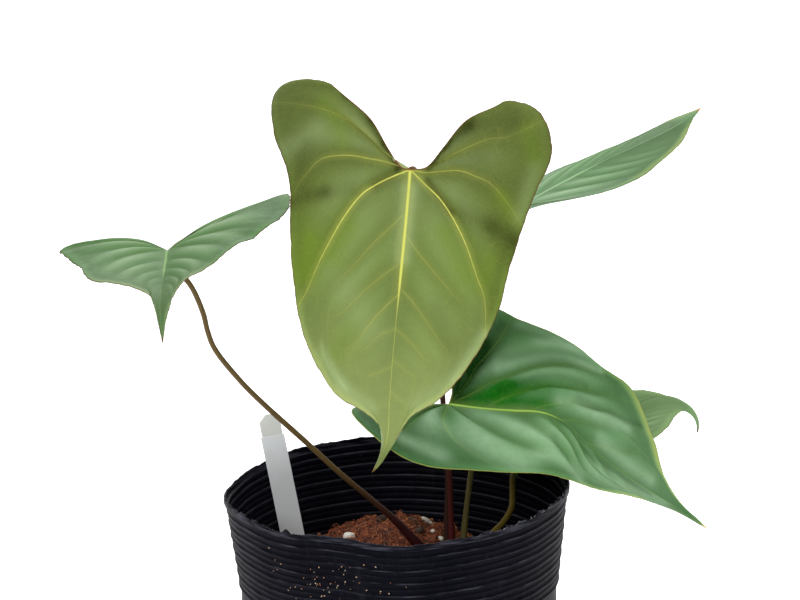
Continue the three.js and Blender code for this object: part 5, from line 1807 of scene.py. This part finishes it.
def knobbly_ball(size, seed):
    """A ball whose radius is 1 plus two products of sines, stretched to size, with flat poles."""
    theta = np.linspace(0, np.pi, GRAIN_RINGS + 2)[1:-1]
    P, T = np.meshgrid(round_angles(GRAIN_AROUND), theta)
    ball = np.stack([np.sin(T) * np.cos(P), np.sin(T) * np.sin(P), -np.cos(T)], -1)
    x, y, z = ball[..., 0], ball[..., 1], ball[..., 2]
    knob = 1 + 0.10 * np.sin(3 * x + seed) * np.sin(4 * y + 2 * seed)
    knob = knob + 0.07 * np.sin(9 * x + seed) * np.sin(8 * y - 7 * z)
    rings = ball * knob[..., None] * np.array(size) * 0.5
    return capped_rings(rings, (0, 0, -size[2] * POLE_SHARE), (0, 0, size[2] * POLE_SHARE))


for name, (at, size, turn, tilt, seed) in GRAINS.items():
    points, faces = knobbly_ball(size, seed)
    points = turned(turned(points, turn), tilt, 2, 0)
    rise = float(mix_height(*map(float, at))) + size[2] * GRAIN_RISE
    kind = name.split("_")[0]
    put_mesh(name + "_grain", points + np.array([*at, rise]), faces,
             perlite_material if kind == "perlite" else bark_material, [name])

# %% [markdown]
# ## Stem
# The stem is a short knobbly rootstock that hardly shows. Old leaf scars ring it: its profile
# steps in and out, and fine waves cross it.

# %% Stem
STEM_X, STEM_Y, STEM_RADIUS, STEM_BOTTOM, STEM_TOP = 29, 2, 9, 62, 122
STEM_PROFILE = [(0.55, 0), (0.8, 0.06), (0.92, 0.2), (1, 0.4), (0.93, 0.46), (1, 0.6), (0.9, 0.68),
                (0.98, 0.82), (0.8, 0.93), (0.45, 1)]
STEM_RINGS, STEM_AROUND = 70, 48
profile = through(STEM_PROFILE, np.linspace(0, 1, STEM_RINGS))
P, H = np.meshgrid(round_angles(STEM_AROUND), profile[:, 1])
R = np.repeat(profile[:, :1], STEM_AROUND, 1) * STEM_RADIUS
R = R * (1 + 0.02 * np.sin(7 * P + 20 * H)) + 0.2 * np.sin(60 * H)
rings = np.stack([STEM_X + R * np.cos(P), STEM_Y + R * np.sin(P),
                  STEM_BOTTOM + H * (STEM_TOP - STEM_BOTTOM)], -1)
points, faces = capped_rings(rings, (STEM_X, STEM_Y, STEM_BOTTOM), (STEM_X, STEM_Y, STEM_TOP))
put_mesh("stem_body", points, faces, stem_material, ["stem"])

# %% [markdown]
# Two small pinkish scale leaves clasp the foot of the stalks. Each is a sheet bowed round the
# stalk that narrows to a point, with a second sheet behind it and a wall round the edge.

# %% Scale leaves
# Foot, lean to the side, height, half width and the angle that the back faces
SCALE_LEAVES = [((34.5, -3.0, 113), (1.0, -1.5), 19, 3.2, -60),
                ((23, -3.5, 113), (-2.5, -2.0), 13, 3.4, -120)]
SCALE_ROWS, SCALE_COLUMNS = 24, 13
SCALE_BOW = 70
SCALE_THICKNESS = 0.35


def scale_sheet(foot, lean, height, half_width, turn):
    """The outer sheet and its outward direction. At each height s the sheet is an arc whose
    half width falls as 1 - s to the power 2.2."""
    s = np.linspace(0, 1, SCALE_ROWS)[:, None]
    c = np.linspace(-1, 1, SCALE_COLUMNS)[None]
    half = half_width * (1 - s**2.2) + 0.05
    bow = SCALE_BOW * DEG * c
    sideways, inward = half * np.sin(bow), half * (1 - np.cos(bow)) * 0.9
    cos, sin = np.cos(turn * DEG), np.sin(turn * DEG)
    x = foot[0] + lean[0] * s - sin * sideways - cos * inward
    y = foot[1] + lean[1] * s + cos * sideways - sin * inward
    return np.stack([x, y, foot[2] + height * s + 0 * c], -1), np.array([cos, sin, 0])


index = np.arange(SCALE_ROWS * SCALE_COLUMNS).reshape(SCALE_ROWS, SCALE_COLUMNS)
rim = np.concatenate([index[0], index[1:, -1], index[-1, -2::-1], index[-2:0:-1, 0]])
next_rim = np.roll(rim, -1)
walls = np.stack([rim, rim + index.size, next_rim + index.size, next_rim], -1)
front_faces = grid_faces(SCALE_ROWS, SCALE_COLUMNS)
faces = np.vstack([front_faces, front_faces[:, ::-1] + index.size, walls])
for number, row in enumerate(SCALE_LEAVES, 1):
    sheet, outside = scale_sheet(*row)
    behind = sheet - SCALE_THICKNESS * outside
    put_mesh(f"scale_leaf_{number}", np.vstack([sheet.reshape(-1, 3), behind.reshape(-1, 3)]),
             faces, scale_material)

# %% [markdown]
# ## Plant label
# A strip of off-white plastic is pushed into the mix, and a band of plain white tape is wrapped
# round its upper part. Both are flat bars with slightly rounded edges.

# %% Label
LABEL_LENGTH, LABEL_WIDTH = 118, 11
TAG_THICKNESS, TAPE_THICKNESS = 0.6, 0.8
TAPE_WIDTH, TAPE_FROM, TAPE_TO = 12.4, 22, 106
LABEL_LEAN = 10.5
LABEL_FOOT = (-45.7, 18, 77)
OUTLINE_STEP = 1.2


def fill_outline(corners):
    """The outline with even points added along its sides, OUTLINE_STEP apart or a little more."""
    c = np.array(corners, float)
    parts = []
    for a, b in zip(c, np.roll(c, -1, 0)):
        n = max(1, int(np.linalg.norm(b - a) / OUTLINE_STEP))
        parts.append(a + (b - a) * (np.arange(n) / n)[:, None])
    return np.vstack(parts)


def label_piece(name, corners, thickness, finish, nodes, round_by):
    """A bar from an outline in its own plane (across, up): four rings give rounded edges."""
    p = fill_outline(corners)
    centre = p.mean(0)
    spoke = p - centre
    inset = centre + spoke * (1 - round_by / np.linalg.norm(spoke, axis=1, keepdims=True))
    edge = 0.5 - round_by / thickness
    levels = [(inset, -0.5), (p, -edge), (p, edge), (inset, 0.5)]
    rings = [np.column_stack([q[:, 0], np.full(len(q), h * thickness), q[:, 1]])
             for q, h in levels]
    points, faces = capped_rings(rings, (centre[0], -0.5 * thickness, centre[1]),
                                 (centre[0], 0.5 * thickness, centre[1]))
    points = turned(points, -LABEL_LEAN, 2, 0) + np.array(LABEL_FOOT)
    put_mesh(name, points, flip_faces(faces), finish, nodes, smooth=False)


w, t = LABEL_WIDTH / 2, TAPE_WIDTH / 2
tag_corners = [(-w * 0.3, 0), (w * 0.3, 0), (w, 14), (w, LABEL_LENGTH - 2.5),
               (w - 2.5, LABEL_LENGTH), (-w + 4, LABEL_LENGTH), (-w, LABEL_LENGTH - 4), (-w, 14)]
tape_corners = [(-t, TAPE_FROM), (t, TAPE_FROM), (t, TAPE_TO), (-t, TAPE_TO)]
label_piece("label_tag", tag_corners, TAG_THICKNESS, tag_material, ["plant_label"], 0.12)
label_piece("label_tape", tape_corners, TAPE_THICKNESS, tape_material, [], 0.1)

# %% [markdown]
# ## Last step
# The view layer is brought up to date.

# %% Update the view layer
bpy.context.view_layer.update()
